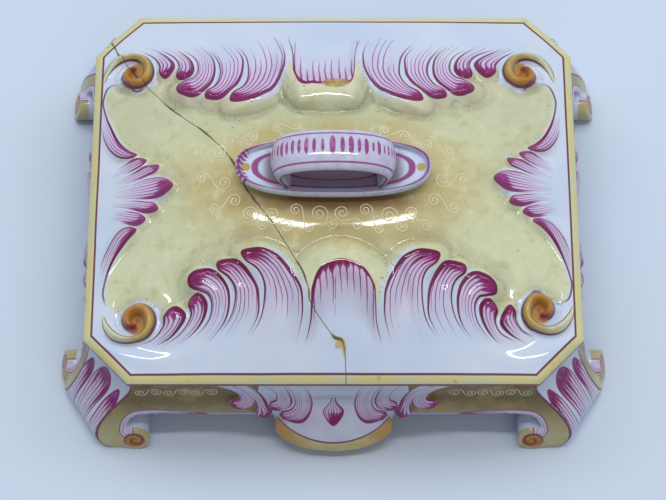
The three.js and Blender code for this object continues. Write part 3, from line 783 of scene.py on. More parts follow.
class LidPaint(Finish):
    """The lid: yellow ground, feathers, volutes, banded edge, the old crack and its repairs."""

    def __init__(self, lid: "Lid") -> None:
        """Starts the lid's finish, which needs its sizes."""
        super().__init__("painted_lid")
        self.lid = lid

    def ground(self, below: Feed) -> Socket:
        """Lays the yellow ground into the white glaze: ochre round the handle, a painted brown shadow under
        the saddle's front edge and painted shade and dirt in the hollows.

        Args:
            below: Colour under the paint.

        Returns:
            The painted colour.
        """
        x, y, _ = self.millimetres()
        cloud = self.noise(18, 4, 0.6)
        field_depth = self.stored("ground")
        along, _, outside = self.triple("feather")
        round_head = outside.up(-9.0, -4.0) * along.down(0.1, 0.36)
        mask = (field_depth + (cloud - 0.5) * 2.4).up(-1.2, 2.4).most(round_head)
        ring = (x / 92).away((y + 4) / 46) + (cloud - 0.5) * 0.5
        pale = self.mix(Hue.PALE_YELLOW, Hue.YELLOW, ring.down(0.55, 1.05))
        warm = self.mix(pale, Hue.OCHRE, ring.down(0.35, 0.85) * 0.6)
        # Painted brown shadow under the saddle's front edge, laid in an ellipse just before it
        shadow = (x / 46).away((y + 13.5) / 7) + (cloud - 0.5) * 0.8
        mottle = self.noise(6, 3, 0.6)
        creamy = self.mix(warm, Hue.CREAM, mottle.up(0.52, 0.72) * 0.35)
        patchy = self.mix(creamy, Hue.OCHRE, mottle.down(0.3, 0.48) * 0.35)
        shadow_under_saddle = self.mix(patchy, Hue.BROWN, shadow.down(0.3, 1.15) * 0.9)
        hollow = self.stored("hollow")
        # The ground grows a little darker towards the back
        darker_back = self.mix(shadow_under_saddle, Hue.DIRT_AND_SHADE, y.up(10, 36) * 0.14)
        # Painted shade in the top's hollows, partly dirt, stronger towards the back
        hollow_shade_and_dirt = self.mix(darker_back, Hue.DIRT_AND_SHADE, hollow.up(0.0, 0.9) * (0.16 + y.up(25, 40) * 0.2))
        # Lighter cream on the slopes of the back noses: partly the cream glaze, partly painted light
        wear_and_light = outside.up(-7.0, -1.5) * along.down(0.1, 0.36) * y.up(15, 35)
        laid = self.mix(below, self.mix(hollow_shade_and_dirt, Hue.CREAM, wear_and_light * 0.4), mask)
        # Olive in the hollows, broken by noise: partly grime, partly painted shade
        grime_and_shade = hollow.up(0.15, 0.9) * self.noise(6, 4, 0.7).up(0.42, 0.66)
        olive = self.mix(laid, Hue.OLIVE, grime_and_shade * field_depth.up(-9, 0) * 0.32)
        thickly = self.noise(7, 3).up(0.42, 0.58)
        valley = abs(x).up(9, 14) * abs(x).down(24, 30)
        valley = valley * abs(y).up(30, 37) * abs(y).down(54, 62)
        crowded = hollow.up(0.25, 0.8).most(valley) * field_depth.up(-12, -2) * thickly
        dots = self.specks(1.2, 0.3) * crowded
        sparse = self.specks(9, 0.05) * mask
        return self.mix(olive, Hue.DIRT_AND_SHADE, (dots * 0.75).most(sparse * 0.8))

    def rim(self, below: Feed) -> Socket:
        """Paints the yellow band along the edge between its two dark lines.

        Args:
            below: Colour under the paint.

        Returns:
            The painted colour.
        """
        lid = self.lid
        x, y, z = self.millimetres()
        to_cut = (lid.half_x + lid.half_y - lid.corner_cut - abs(x) - abs(y)) * math.sqrt(0.5)
        inward = (lid.half_x - abs(x)).least(lid.half_y - abs(y)).least(to_cut)
        wander = (self.noise(30, 2) - 0.5) * 0.5
        # Here only wear: patches where the band is worn and stained
        wear_and_light = self.noise(7, 3).up(0.62, 0.72)
        band = inward.down(lid.band, lid.band + 0.3) * z.up(lid.seat + 0.9, lid.seat + 1.3)
        tone = self.mix(Hue.BAND, Hue.PALE_YELLOW, self.noise(16, 3).up(0.4, 0.75))
        stained = self.mix(tone, Hue.OLIVE, wear_and_light * self.noise(3, 3).up(0.4, 0.7) * 0.6)
        banded = self.mix(below, stained, band)
        inner = (inward - lid.band + wander).line(0.48)
        lower = (z - lid.seat - 0.9 + wander).down(2.2, 2.7) * inward.down(0.5, 0.9)
        lined = self.mix(banded, Hue.LINE, inner * 0.92)
        return self.mix(lined, Hue.CRIMSON, lower * 0.95)

    def scars(self, below: Feed) -> Socket:
        """Draws the crack across the lid, its yellowed filler and the chipped panel.

        Args:
            below: Colour under the paint.

        Returns:
            The painted colour.
        """
        crack, filler, chip = self.triple("scar")
        jitter = (self.noise(4, 3, 0.7) - 0.5) * 1.2
        width = self.noise(11, 2).up(0.45, 0.7) * 0.45 + 0.2
        dark = self.mix(below, Hue.FILLER, (crack + jitter).line(1.0, 0.4) * filler.up(0.2, 0.7))
        cracked = self.mix(dark, Hue.CRACK, (crack + jitter * 0.4).line(width, 0.12) * 0.85)
        patch = (filler + jitter * 0.25).up(0.75, 0.85)
        filled = self.mix(cracked, Hue.FILLER, patch * 0.8)
        bare = self.mix(Hue.OCHRE, Hue.BROWN, self.noise(3, 3).up(0.35, 0.65) * 0.7)
        return self.mix(filled, bare, (chip + jitter * 0.2).up(0.6, 0.75) * 0.9)

    def contour(self, below: Feed) -> Socket:
        """Draws the thin line of the C-scroll along the ground's short ends.

        Args:
            below: Colour under the paint.

        Returns:
            The painted colour.
        """
        x, y, _ = self.millimetres()
        reach = abs(y).up(17, 24) * abs(y).down(51, 56) * abs(x).up(85, 89)
        line = (self.stored("ground") + 0.4).line(0.42) * reach
        return self.mix(below, Hue.LINE, line * 0.85)

    def material(self) -> Material:
        """Makes the lid's material.

        Returns:
            The finished material.
        """
        x, y, _ = self.millimetres()
        front = y.down(-28, -14)
        red = front * abs(x).down(34, 44)
        pale = (abs(x).up(58, 72) * abs(y).down(32, 44) * 0.5).most(y.up(20, 34) * 0.2)
        colour = self.feathers(self.ground(self.white()), dark=front, red=red, pale=pale)
        colour = self.contour(self.scrolls(colour))
        colour = self.scars(self.rim(colour))
        crack, _, chip = self.triple("scar")
        open_body = crack.line(0.5, 0.3).most(chip.up(0.6, 0.75))
        rough = open_body * 0.5 + 0.05 + self.noise(14, 2) * 0.03
        skin = self.skin() * 0.5 + (1 - open_body) * 0.5
        return self.glaze(colour, rough, self.bump(skin, 0.12, 0.5))


class BoxPaint(Finish):
    """The box: olive panels, shells of feathers, scrolled feet and the cartouche's yellow rim."""

    def __init__(self, box: "Box") -> None:
        """Starts the box's finish, which needs its sizes."""
        super().__init__("painted_box")
        self.box = box

    def panel(self, below: Feed) -> Socket:
        """Lays the panels, yellow below and olive towards the lid, partly as painted shade, that run from
        the shells down into the scrolls of the feet.

        Args:
            below: Colour under the paint.

        Returns:
            The painted colour.
        """
        along, height, deep = self.triple("side")
        edge, low, _ = self.triple("margin")
        cloud = self.noise(12, 3, 0.6)
        outside = deep.down(0.5, 1.4)
        shells = self.stored("shell") + (cloud - 0.5) * 1.4
        mask = edge.up(0.2, 0.7) * low.up(2.6, 3.4) * shells.up(-0.4, 0.6) * outside
        # Yellow low down to olive near the rim: partly the panel's colour, partly painted shade under the
        # lid
        brown = self.mix(Hue.YELLOW, Hue.OLIVE, height.up(2, 36))
        tone = self.mix(brown, Hue.OCHRE, cloud.up(0.4, 0.7) * 0.6)
        spot = self.mix(tone, Hue.BROWN, shells.down(0.5, 5.0) * 0.75)
        laid = self.mix(below, spot, mask)
        lilac = self.mix(laid, Hue.LILAC, low.down(2.0, 3.2) * outside * 0.5)
        upper = (low - 3.0).line(0.3) * outside * shells.up(-1, 1)
        hem = (low - 1.5 - along.fract() * 0.2).line(0.22)
        lower = hem * outside * height.down(17, 24) * edge.up(-2, 2)
        lined = self.mix(lilac, Hue.PURPLE, upper.most(lower * 0.6) * edge.up(0, 3) * 0.8)
        corner = (edge - 0.4 + (cloud - 0.5) * 0.4).line(0.6) * outside * height.down(43, 45)
        return self.mix(lined, Hue.LINE, corner * 0.9)

    def eyes(self, below: Feed) -> Socket:
        """Paints the ochre eye and the brown spiral on the end of each rolled scroll.

        Args:
            below: Colour under the paint.

        Returns:
            The painted colour.
        """
        along, height, deep = self.triple("side")
        outside = deep.down(0.2, 0.8)
        centre = self.stored("eye")
        ring = abs(along) - centre
        rise = height - self.box.roll_radius
        away = ring.away(rise)
        turn = rise.turn(ring) / (2 * math.pi)
        eye = away.down(4.4, 4.9) * outside
        filled = self.mix(below, Hue.ORANGE, eye)
        coil = ((away / 3.4 + turn).fract() - 0.5).line(0.17, 0.05)
        spiral = coil * away.down(5.0, 5.4) * away.up(0.6, 1.4)
        return self.mix(filled, Hue.LINE, spiral * outside * 0.85)

    def cartouche(self, below: Feed) -> Socket:
        """Paints the cartouche: a lilac field, a yellow crescent rim and the purple line between.

        Args:
            below: Colour under the paint.

        Returns:
            The painted colour.
        """
        rim, proud, along = self.triple("cartouche")
        on_it = proud.up(1.2, 1.8)
        width = 4.3 + along * along * 0.007
        field_tone = self.mix(Hue.WHITE, Hue.LILAC, self.noise(9, 3).up(0.35, 0.8) * 0.6)
        plain = self.mix(below, field_tone, on_it)
        crescent = rim.down(width - 0.2, width + 0.2) * on_it
        tone = self.mix(Hue.BAND, Hue.OCHRE, self.noise(8, 3).up(0.3, 0.75) * 0.7)
        ends = self.mix(tone, Hue.ORANGE, (abs(along) + self.noise(5, 3) * 8).up(12, 28) * 0.7)
        rimmed = self.mix(plain, ends, crescent)
        line = (rim - width - 0.3).line(0.42) * on_it
        return self.mix(rimmed, Hue.LINE, line * 0.9)

    def material(self) -> Material:
        """Makes the box's material.

        Returns:
            The finished material.
        """
        colour = self.cartouche(self.panel(self.white()))
        colour = self.eyes(self.feathers(colour, Hue.PURPLE, 0.55))
        rough = self.noise(14, 2) * 0.04 + 0.07
        return self.glaze(colour, rough, self.bump(self.skin(), 0.12, 0.5), 1.38)


class HandlePaint(Finish):
    """The strap and its saddle: white with lilac lights, purple lines, brush dashes and painted shade in the
    dish under the strap.
    """

    def fired(self, colour: Feed) -> Material:
        """Ends the material in the handle's glaze."""
        return self.glaze(colour, 0.08 + self.noise(9, 2) * 0.05, self.bump(self.skin(), 0.12, 0.5))

    def strap(self) -> Material:
        """Makes the strap's material from its own coordinates along and across.

        Returns:
            The finished material.
        """
        along, across, depth = self.triple("strap")
        top = depth.down(2.6, 3.2)
        tinted = self.mix(self.white(), Hue.LILAC, self.noise(10, 3).up(0.25, 0.7) * 0.4 + 0.1)
        body = self.mix(tinted, Hue.DUSK, self.noise(4, 3).up(0.3, 0.75) * 0.2 + 0.06)
        phase = along * 27
        luck = self.chance(phase.floor())
        off = abs(phase.fract() - 0.5)
        middle = abs(along - 0.5)
        reach = (0.5 - middle * 0.55) * (luck * 0.45 + 0.65)
        tip = 1 - (abs(across - 0.08) / reach) ** 4
        dash = (tip * (0.18 + luck * 0.16) - off).up(-0.02, 0.06) * middle.down(0.38, 0.42) * top
        inked = self.mix(Hue.PURPLE, Hue.VIOLET, self.noise(2.5, 2).up(0.45, 0.65))
        dashed = self.mix(body, inked, dash * 0.9)
        sides = (abs(across) - 0.7).line(0.042, 0.015) * top
        lined = self.mix(dashed, Hue.PURPLE, sides * 0.85)
        chipped = self.mix(lined, Hue.DIRT_AND_SHADE, self.specks(4, 0.1) * (depth - 2.3).line(0.7, 0.2))
        colour = self.mix(chipped, Hue.LINE, (depth - 4.3).line(0.5, 0.2) * 0.85)
        return self.fired(colour)

    def saddle(self) -> Material:
        """Makes the saddle's material from its own coordinates inward and around.

        Returns:
            The finished material.
        """
        inward, side, tip = self.triple("saddle")
        x, y, _ = self.millimetres()
        # Here only grime: an olive stain round the strap's feet
        grime_and_shade = tip.down(0.15, 0.5) * self.noise(5, 4, 0.7).up(0.45, 0.65)
        # Painted shade in the saddle's dish under the strap, in dusky mauve-grey
        dish_shade = self.mix(self.white(), Hue.DUSK, inward.up(3.0, 6.0) * tip.down(0.0, 0.35) * 0.85)
        body = self.mix(dish_shade, Hue.OLIVE, grime_and_shade * 0.2)
        fan = ((side * 46).fract() - 0.5).line(0.3, 0.1)
        petals = fan * inward.down(3.2, 4.6) * x.down(-38.5, -36.5)
        flower = self.mix(body, Hue.PURPLE, petals * 0.9)
        dot = (abs(x) - 38.4).away(y)
        dotted = self.mix(flower, Hue.OCHRE, dot.down(1.7, 2.1))
        oval = ((abs(x) / 34.6) ** 2.4 + (abs(y) / 9.4) ** 2.4) ** 0.4167
        inner = (oval - 1).line(0.044, 0.014).most((oval - 0.62).line(0.035, 0.014)) * inward.up(2.2, 2.6)
        outer = (inward - 1.3).line(0.3 + 0.25 * tip.up(0.1, 0.6), 0.2)
        ringed = self.mix(dotted, Hue.PURPLE, inner * 0.9)
        colour = self.mix(ringed, Hue.PURPLE, outer * 0.9)
        return self.fired(colour)


class PlainGlaze(Finish):
    """Unpainted tin glaze inside the box and under the lid."""

    def material(self) -> Material:
        """Makes the material."""
        colour = self.mix(self.white(), Hue.FILLER, self.noise(5, 4, 0.7).up(0.6, 0.72) * 0.25)
        return self.glaze(colour, self.noise(14, 2) * 0.08 + 0.12, self.bump(self.skin(), 0.2, 0.5))


class SlipLine(Finish):
    """Thin cream slip of the trailed curls."""

    def material(self) -> Material:
        """Makes the material."""
        colour = self.mix(Hue.CREAM, Hue.YELLOW, self.noise(4, 3).up(0.45, 0.7) * 0.7)
        return self.glaze(colour, 0.14 + self.noise(6, 2) * 0.06, self.bump(self.noise(1.2, 2), 0.05, 0.5))


class Linen(Finish):
    """The plain pale cloth that the casket stands on."""

    def material(self) -> Material:
        """Makes the material."""
        colour = self.mix(Hue.CLOTH, Hue.WHITE, self.noise(120, 3).up(0.3, 0.7) * 0.4)
        return self.glaze(colour, 0.9, self.bump(self.noise(1.4, 1), 0.1, 0.4), 1.5)


# Lid


def feather(outer: Sequence[Pair], tip: Pair, inner: Sequence[Pair], lift: float, **more: float) -> Lobe:
    """Shortens the making of a feather lobe."""
    settings = {"skirt": 3.4, "crest": 2.6, **more}
    return Lobe(tuple(outer), tip, tuple(inner), lift, **settings)


# The lobes of one quarter of the lid, by distance from its two middle lines
LID_LOBES = (
    feather(
        [(-18, 79), (-14.6, 68), (-14, 60), (-13.3, 53), (-9, 45.6)], (0, 42.4),
        [(9, 45.6), (13.3, 53), (14, 60), (14.6, 68), (18, 79)],
        6.4, skirt=12.0, crest=3.0, strokes=13, head=0.16, trade=Trade.HANGING, nose=True,
    ),
    feather(
        [(21.5, 77), (18.2, 66), (17.7, 60), (18.4, 53.4), (21.8, 46), (27, 40), (34.6, 36.4)], (43, 36.6),
        [(42, 41), (37, 45), (34.5, 51), (35, 60.5), (37.4, 67), (42.4, 73)],
        5.8, skirt=6.0, strokes=7, head=0.25, nose=True,
    ),
    feather(
        [(43.3, 73.4), (37.5, 64), (36.8, 56.5), (37.8, 50.5), (41.6, 44), (47, 39.3)], (53.9, 39.8),
        [(54, 43.6), (50, 47), (47.6, 51.5), (47.4, 57), (49.4, 63.5), (55, 71)],
        5.2, skirt=4.6, strokes=6, head=0.27,
    ),
    feather(
        [(58.3, 73), (51.5, 64.6), (49.6, 56), (51.3, 48.6), (57, 42.5), (62.5, 41.8)], (66.9, 44.2),
        [(67, 48.5), (63, 51.2), (59.4, 53), (57.6, 57.5), (59.3, 64.2), (66.5, 71.2)],
        5.4, skirt=4.6, strokes=6, head=0.32,
    ),
    feather(
        [(69.6, 71.8), (61.5, 63.9), (59.5, 56.6), (62.9, 51.9)], (66.3, 52.6),
        [(67.6, 55.6), (66.6, 60.5), (69.6, 66), (77, 71.7)], 4.2, skirt=2.6, strokes=4, head=0.34,
    ),
    feather(
        [(79.5, 72.3), (71.2, 65.2), (68.5, 60.3), (71, 55)], (73.3, 53.9),
        [(75.4, 57), (75.8, 61.5), (79, 66.5), (85, 70.5)], 4.0, skirt=2.6, strokes=4, head=0.34,
    ),
    feather(
        [(101.5, 46), (100.4, 36), (96, 27), (91.6, 22)], (87.6, 19),
        [(91.5, 17.6), (97, 19.6), (102, 27), (104.6, 38)], 3.2, skirt=2.6, strokes=5, head=0.2, ends=0.85,
    ),
    feather(
        [(100, 12.6), (93, 15.6), (88, 17.4)], (83.6, 15.6),
        [(86, 12.6), (91, 10.6), (99, 7.6)], 3.4, skirt=2.6, strokes=5, head=0.27, ends=0.75,
    ),
    feather(
        [(99, 6.7), (90, 9.6), (84, 12.4)], (78.2, 11.8),
        [(79.5, 8.2), (84, 6.6), (91, 4.8), (99, 3.2)], 3.5, skirt=2.6, strokes=5, head=0.27, ends=0.75,
    ),
    feather(
        [(98, -2.6), (89, -4.4), (80, -5.4), (75, -4)], (71.4, 0),
        [(75, 4), (80, 5.4), (89, 4.4), (98, 2.6)], 3.6, skirt=2.8, strokes=7, head=0.27, ends=0.75,
    ),
    Lobe(
        (
            (102.3, 54), (100.8, 61), (96.4, 67), (90, 69), (82.2, 66.6), (78.4, 60), (79.6, 53.4),
            (84.6, 50.2), (90.4, 51.8), (93, 56.6), (91, 61),
        ),
        (87, 61.6),
        (
            (86.4, 59.4), (88.4, 58.6), (88.8, 56.4), (86, 55), (83.4, 57), (83, 61), (86, 64.4), (91, 65),
            (96, 62.4), (99.6, 58), (101.6, 53.6),
        ),
        4.6, skirt=1.4, crest=2.2, trade=Trade.VOLUTE,
    ),
    Lobe(
        ((58, 75), (66, 80), (78, 82), (90, 79)),
        (99, 72),
        ((90, 75), (78, 78.5), (68, 76.5), (61, 73)),
        0.7, skirt=5.0, crest=2.0, trade=Trade.BARE, fade=1.4,
    ),
)
CURL_AT: Pair = (86, 57.6)  # middle of the volute's curl
PANEL = 0  # number of the lobe that the front and the back share between two quarters
PALMETTE = 9  # number of the lobe that the left and the right share

# Edge of the yellow ground in one quarter, from the front's middle line to the side's
GROUND_EDGE: Curve = (
    (0, 40), (9, 43), (14, 49), (18, 52), (21, 45), (28, 37.5), (40, 34), (50, 36.5), (58, 39.5), (67, 42),
    (69, 49), (73, 51.5), (78, 52), (86, 48.5), (92, 53.4), (98.6, 52), (101.2, 46.5), (101.4, 42),
    (99.4, 34), (95, 25.5), (88, 19.2), (83, 17.5), (78, 13.6), (76.4, 8), (70.6, 0),
)

# The crack across the lid, from its back left corner to the front edge
CRACK: Curve = (
    (-104, 78), (-98, 67), (-84, 49), (-67, 31), (-59, 24), (-50, 14), (-44, 5), (-38, -8), (-27, -23),
    (-17.3, -38), (-13.4, -46), (-10.8, -54), (-10, -59), (-4.4, -66), (0.2, -71.6), (4.2, -74), (5.4, -85),
    (5.5, -91),
)
FILLER_AT: Pair = (2.2, -74.8)
FILLER_SIZE = 4.2
CHIP_AT: Pair = (1, 43.8)
CHIP_SIZE = 4.6
HOLLOW_STEPS = 30  # times that the top is smoothed to find its hollows


@dataclass
class Lid:
    """The domed lid with its moulded relief."""

    half_x: float  # half its length
    half_y: float  # half its depth
    seat: float  # height of its underside
    corner_cut: float = 20  # what each corner loses on either side
    edge: float = 5  # height of the banded edge
    band: float = 3.5  # width of the bevelled band
    band_drop: float = 1.4  # fall of the bevel
    wall: float = 7  # clay between the dome and the hollow
    dome_rise: float = 26.5  # height of the full dome
    land_rise: float = 24  # height at which the dome is pressed flat
    fullness_x: float = 1.8  # shape of the dome along X
    fullness_y: float = 1.6  # shape of the dome along Y
    shoulder: float = 3  # height over which the dome rounds into its flat land
    groove: float = 1.5  # depth of the groove around the lobes' heads
    skew: float = 0.084  # lean of the hand-pressed pattern, X over Y
    front_shift: tuple[Curve, Curve] = (  # shift of the front's left and right pattern to the middle
        ((30, 0.8), (50, 0), (64, -1.5), (72, -4.5), (80, -5.2)),
        ((30, 0.8), (50, 0), (64, -1.5), (72, -4), (80, -2), (88, 0)),
    )
    back_shift: Curve = (  # shift of the back's pattern, whose panel is squarer
        (0, -1.2), (6, 0), (9, 2.2), (12.5, 4.6), (15, 2), (18, 0),
    )
    side_shift: Pair = (-2.6, 0.8)  # shift along Y of the left's and of the right's feathers
    side_squeeze: float = 0.08  # share by which those feathers are pressed together
    pitch: float = 0.73  # distance between vertices on the top
    hollow_share: float = 0.87  # size of the hollow as a share of the lid
    relief: Relief = field(default_factory=lambda: Relief(LID_LOBES))

    def dome(self, x: Array, y: Array) -> Array:
        """Gives the plain dome's height over the edge.

        Args:
            x: Places along X.
            y: Places along Y.

        Returns:
            The heights.
        """
        fall_x = 1 - np.minimum(1, abs(x) / self.half_x) ** self.fullness_x
        fall_y = 1 - np.minimum(1, abs(y) / self.half_y) ** self.fullness_y
        rise = self.dome_rise * fall_x * fall_y
        near = np.clip(1 - abs(rise - self.land_rise) / self.shoulder, 0, 1)
        return np.minimum(rise, self.land_rise) - near**2 * self.shoulder / 4

    def inward(self, x: Array, y: Array) -> Array:
        """Gives the distance inside the lid's outline.

        Args:
            x: Places along X.
            y: Places along Y.

        Returns:
            The distances, 0 outside.
        """
        to_cut = (self.half_x + self.half_y - self.corner_cut - abs(x) - abs(y)) / math.sqrt(2)
        to_side = np.minimum(self.half_x - abs(x), self.half_y - abs(y))
        return np.maximum(np.minimum(to_side, to_cut), 0)

    def mould(self, x: Array, y: Array) -> tuple[Array, Array]:
        """Gives X and Y in the mould, whose pattern leans a little.

        Args:
            x: Places along X.
            y: Places along Y.

        Returns:
            The places in the mould along X and along Y.
        """
        outer = (x * y > 0) * ease((abs(x) - 60) / 22)
        lean = self.skew * np.clip(y, -52, 52) * (1 - outer) * ease(abs(y) / 24)
        left, right = (np.interp(abs(x), *zip(*curve)) for curve in self.front_shift)
        shift = np.where(x < 0, left, right) * ease((-y - 14) / 18) * (1 - ease((-y - 68) / 16))
        back = np.interp(abs(x + lean), *zip(*self.back_shift))
        back = back * ease((y - 28) / 10) * (1 - ease((y - 62) / 12))
        side = ease((abs(x) - 54) / 12) * (1 - ease((abs(y) - 14) / 22))
        moved = y - np.where(x < 0, *self.side_shift) * side
        away = abs(moved) * (1 + self.side_squeeze * side) + shift + back
        return x + lean, np.copysign(away, moved)

    def measure(self, x: Array, y: Array) -> None:
        """Measures the relief's lobes at points of the lid.

        Args:
            x: Places along X.
            y: Places along Y.
        """
        mould_x, mould_y = self.mould(x, y)
        quarter = abs(np.stack([mould_x, mould_y], 1))
        places = [quarter] * len(LID_LOBES)
        places[PANEL] = np.stack([mould_x, abs(mould_y)], 1)
        places[PALMETTE] = np.stack([abs(mould_x), mould_y], 1)
        self.relief.measure(places)

    def top(self, x: Array, y: Array) -> Array:
        """Gives the height of the moulded top at points of the lid.

        Args:
            x: Places along X.
            y: Places along Y.

        Returns:
            The heights over the ground.
        """
        self.measure(x, y)
        inside_by = self.inward(x, y)
        bevel = self.band_drop * np.clip(1 - inside_by / self.band, 0, 1)
        relief = self.relief.height(self.groove) * ease(inside_by / (2 * self.band))
        rise = self.dome(x, y)
        return self.seat + self.edge + rise - bevel + relief

    def lines(self, half: float) -> Array:
        """Gives the grid lines from one edge to the other."""
        inner = half - self.band
        return np.r_[-half, np.linspace(-inner, inner, round(2 * inner / self.pitch) + 1), half]

    def grid(self) -> tuple[Array, Array]:
        """Gives X and Y of the top's vertices, whose rows shorten along the cut corners.

        Returns:
            X and Y, both in rows and columns.
        """
        rows = self.lines(self.half_y)
        span = self.half_x - np.maximum(0, abs(rows) - (self.half_y - self.corner_cut))
        shrink = (span - self.band) / (self.half_x - self.band)
        x = self.lines(self.half_x)[None, :] * shrink[:, None]
        x[:, 0], x[:, -1] = -span, span
        return x, np.repeat(rows[:, None], x.shape[1], axis=1)

    def underside(self, clay: Clay, border: Array, rim: Array) -> None:
        """Adds the edge, the flat seat and the hollow beneath the dome.

        Args:
            clay: The lid's clay so far.
            border: Numbers of the top's border vertices, counter-clockwise.
            rim: Their X and Y.
        """
        rounds = [(1.0015, 3.4), (1.0015, 1.2), (1.0, 0.3), (0.992, 0.0)]
        flat = np.ones(len(rim))
        rings = [np.column_stack([rim * scale, flat * (self.seat + lift)]) for scale, lift in rounds]
        for share in (1.0, 0.94, 0.86, 0.76, 0.64, 0.5, 0.34, 0.17):
            at = rim * self.hollow_share * share
            under = np.maximum(self.seat, self.seat + self.edge + self.dome(at[:, 0], at[:, 1]) - self.wall)
            rings.append(np.column_stack([at, under]))
        numbers = np.vstack([border, clay.put(np.array(rings))])
        numbers = np.hstack([numbers, numbers[:, :1]])
        clay.quads(numbers, flip=True)
        peak = self.seat + self.edge + self.land_rise - self.wall
        middle = int(clay.put(np.array([[0.0, 0.0, peak]]))[0])
        last = numbers[-1]
        clay.faces.extend([[middle, int(b), int(a)] for a, b in zip(last, last[1:])])

    def body(self) -> Mesh:
        """Makes the lid's mesh with what its paint reads from it.

        Returns:
            The mesh.
        """
        clay = Clay()
        x, y = self.grid()
        z = self.top(x.ravel(), y.ravel()).reshape(x.shape)
        numbers = clay.put(np.stack([x, y, z], 2))
        clay.quads(numbers)
        loop = np.concatenate([numbers[0, :-1], numbers[:-1, -1], numbers[-1, :0:-1], numbers[:0:-1, 0]])
        rim = np.column_stack([x.ravel()[loop], y.ravel()[loop]])
        self.underside(clay, loop, rim)
        mesh = clay.mesh("lid_plate_glazed")
        self.mark(mesh, z)
        return mesh

    def mark(self, mesh: Mesh, z: Array) -> None:
        """Stores on the lid what its paint needs to know.

        Args:
            mesh: The lid's mesh, the vertices of its top first.
            z: Heights of the top's grid.
        """
        at = places_of(mesh)
        x, y = at[:, 0], at[:, 1]
        self.relief.extend(len(at) - z.size)
        seeds = np.where(x > 0, 1, 2) + np.where(y > 0, 4, 0)
        fill = np.where(y > 0, np.where(abs(x) < 17, 0.4, 0.8), 1.0)
        self.relief.paint(mesh, seeds.astype(float), fill)
        mould_x, mould_y = self.mould(x, y)
        quarter = abs(np.stack([mould_x, mould_y], 1))
        write(mesh, "curl", np.hypot(*(quarter - CURL_AT).T))
        edge = through(GROUND_EDGE)
        gap, _ = nearest(edge, quarter)
        outline = np.vstack([edge, [(0, 0)]])
        top_side = np.arange(len(at)) < z.size
        within = inside(outline, quarter) & top_side
        write(mesh, "ground", np.where(within, gap, -gap))
        write(mesh, "scar", self.scars(at, top_side))
        # How far the top lies below its smoothed self: the ground's paint darkens these hollows with painted
        # shade and dirt
        spread = np.zeros(len(at))
        smooth = z.copy()
        for _ in range(HOLLOW_STEPS):
            beside = [np.roll(smooth, step, axis) for axis in (0, 1) for step in (1, -1)]
            smooth = sum(beside, smooth) / 5
        spread[: z.size] = np.clip(smooth - z, 0, 1).ravel()
        write(mesh, "hollow", spread)

    def scars(self, at: Array, top_side: Array) -> Array:
        """Measures the crack, its filler and the chip.

        Args:
            at: The lid's vertices.
            top_side: True for those on its top.

        Returns:
            Signed distance from the crack, strength of the filler and strength of the chip.
        """
        plan = at[:, :2]
        line = through(CRACK)
        gap, share = nearest(line, plan)
        run = np.cumsum(np.hypot(*np.diff(line, axis=0).T))
        spot = np.clip(np.searchsorted(run / run[-1], share), 0, len(line) - 2)
        ahead = line[spot + 1] - line[spot]
        off = plan - line[spot]
        side = np.sign(ahead[:, 0] * off[:, 1] - ahead[:, 1] * off[:, 0])
        crack = np.where(top_side | (at[:, 1] < 0), gap * side, 99.0)
        filler = 1 - np.hypot(*(plan - FILLER_AT).T) / (2 * FILLER_SIZE)
        stretch = np.array([0.5, 1.3])
        chip = 1 - np.hypot(*((plan - CHIP_AT) * stretch).T) / (2 * CHIP_SIZE)
        return np.stack([crack, np.where(top_side, filler, -9), np.where(top_side, chip, -9)], 1)

    def build(self) -> Piece:
        """Makes, paints and seats the lid's piece.

        Returns:
            The piece.
        """
        made = shown("lid_relief", self.body(), LidPaint(self).material())
        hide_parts("lid_plate")
        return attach(made, "lid")


# Handle

ARCH_POINTS = 29


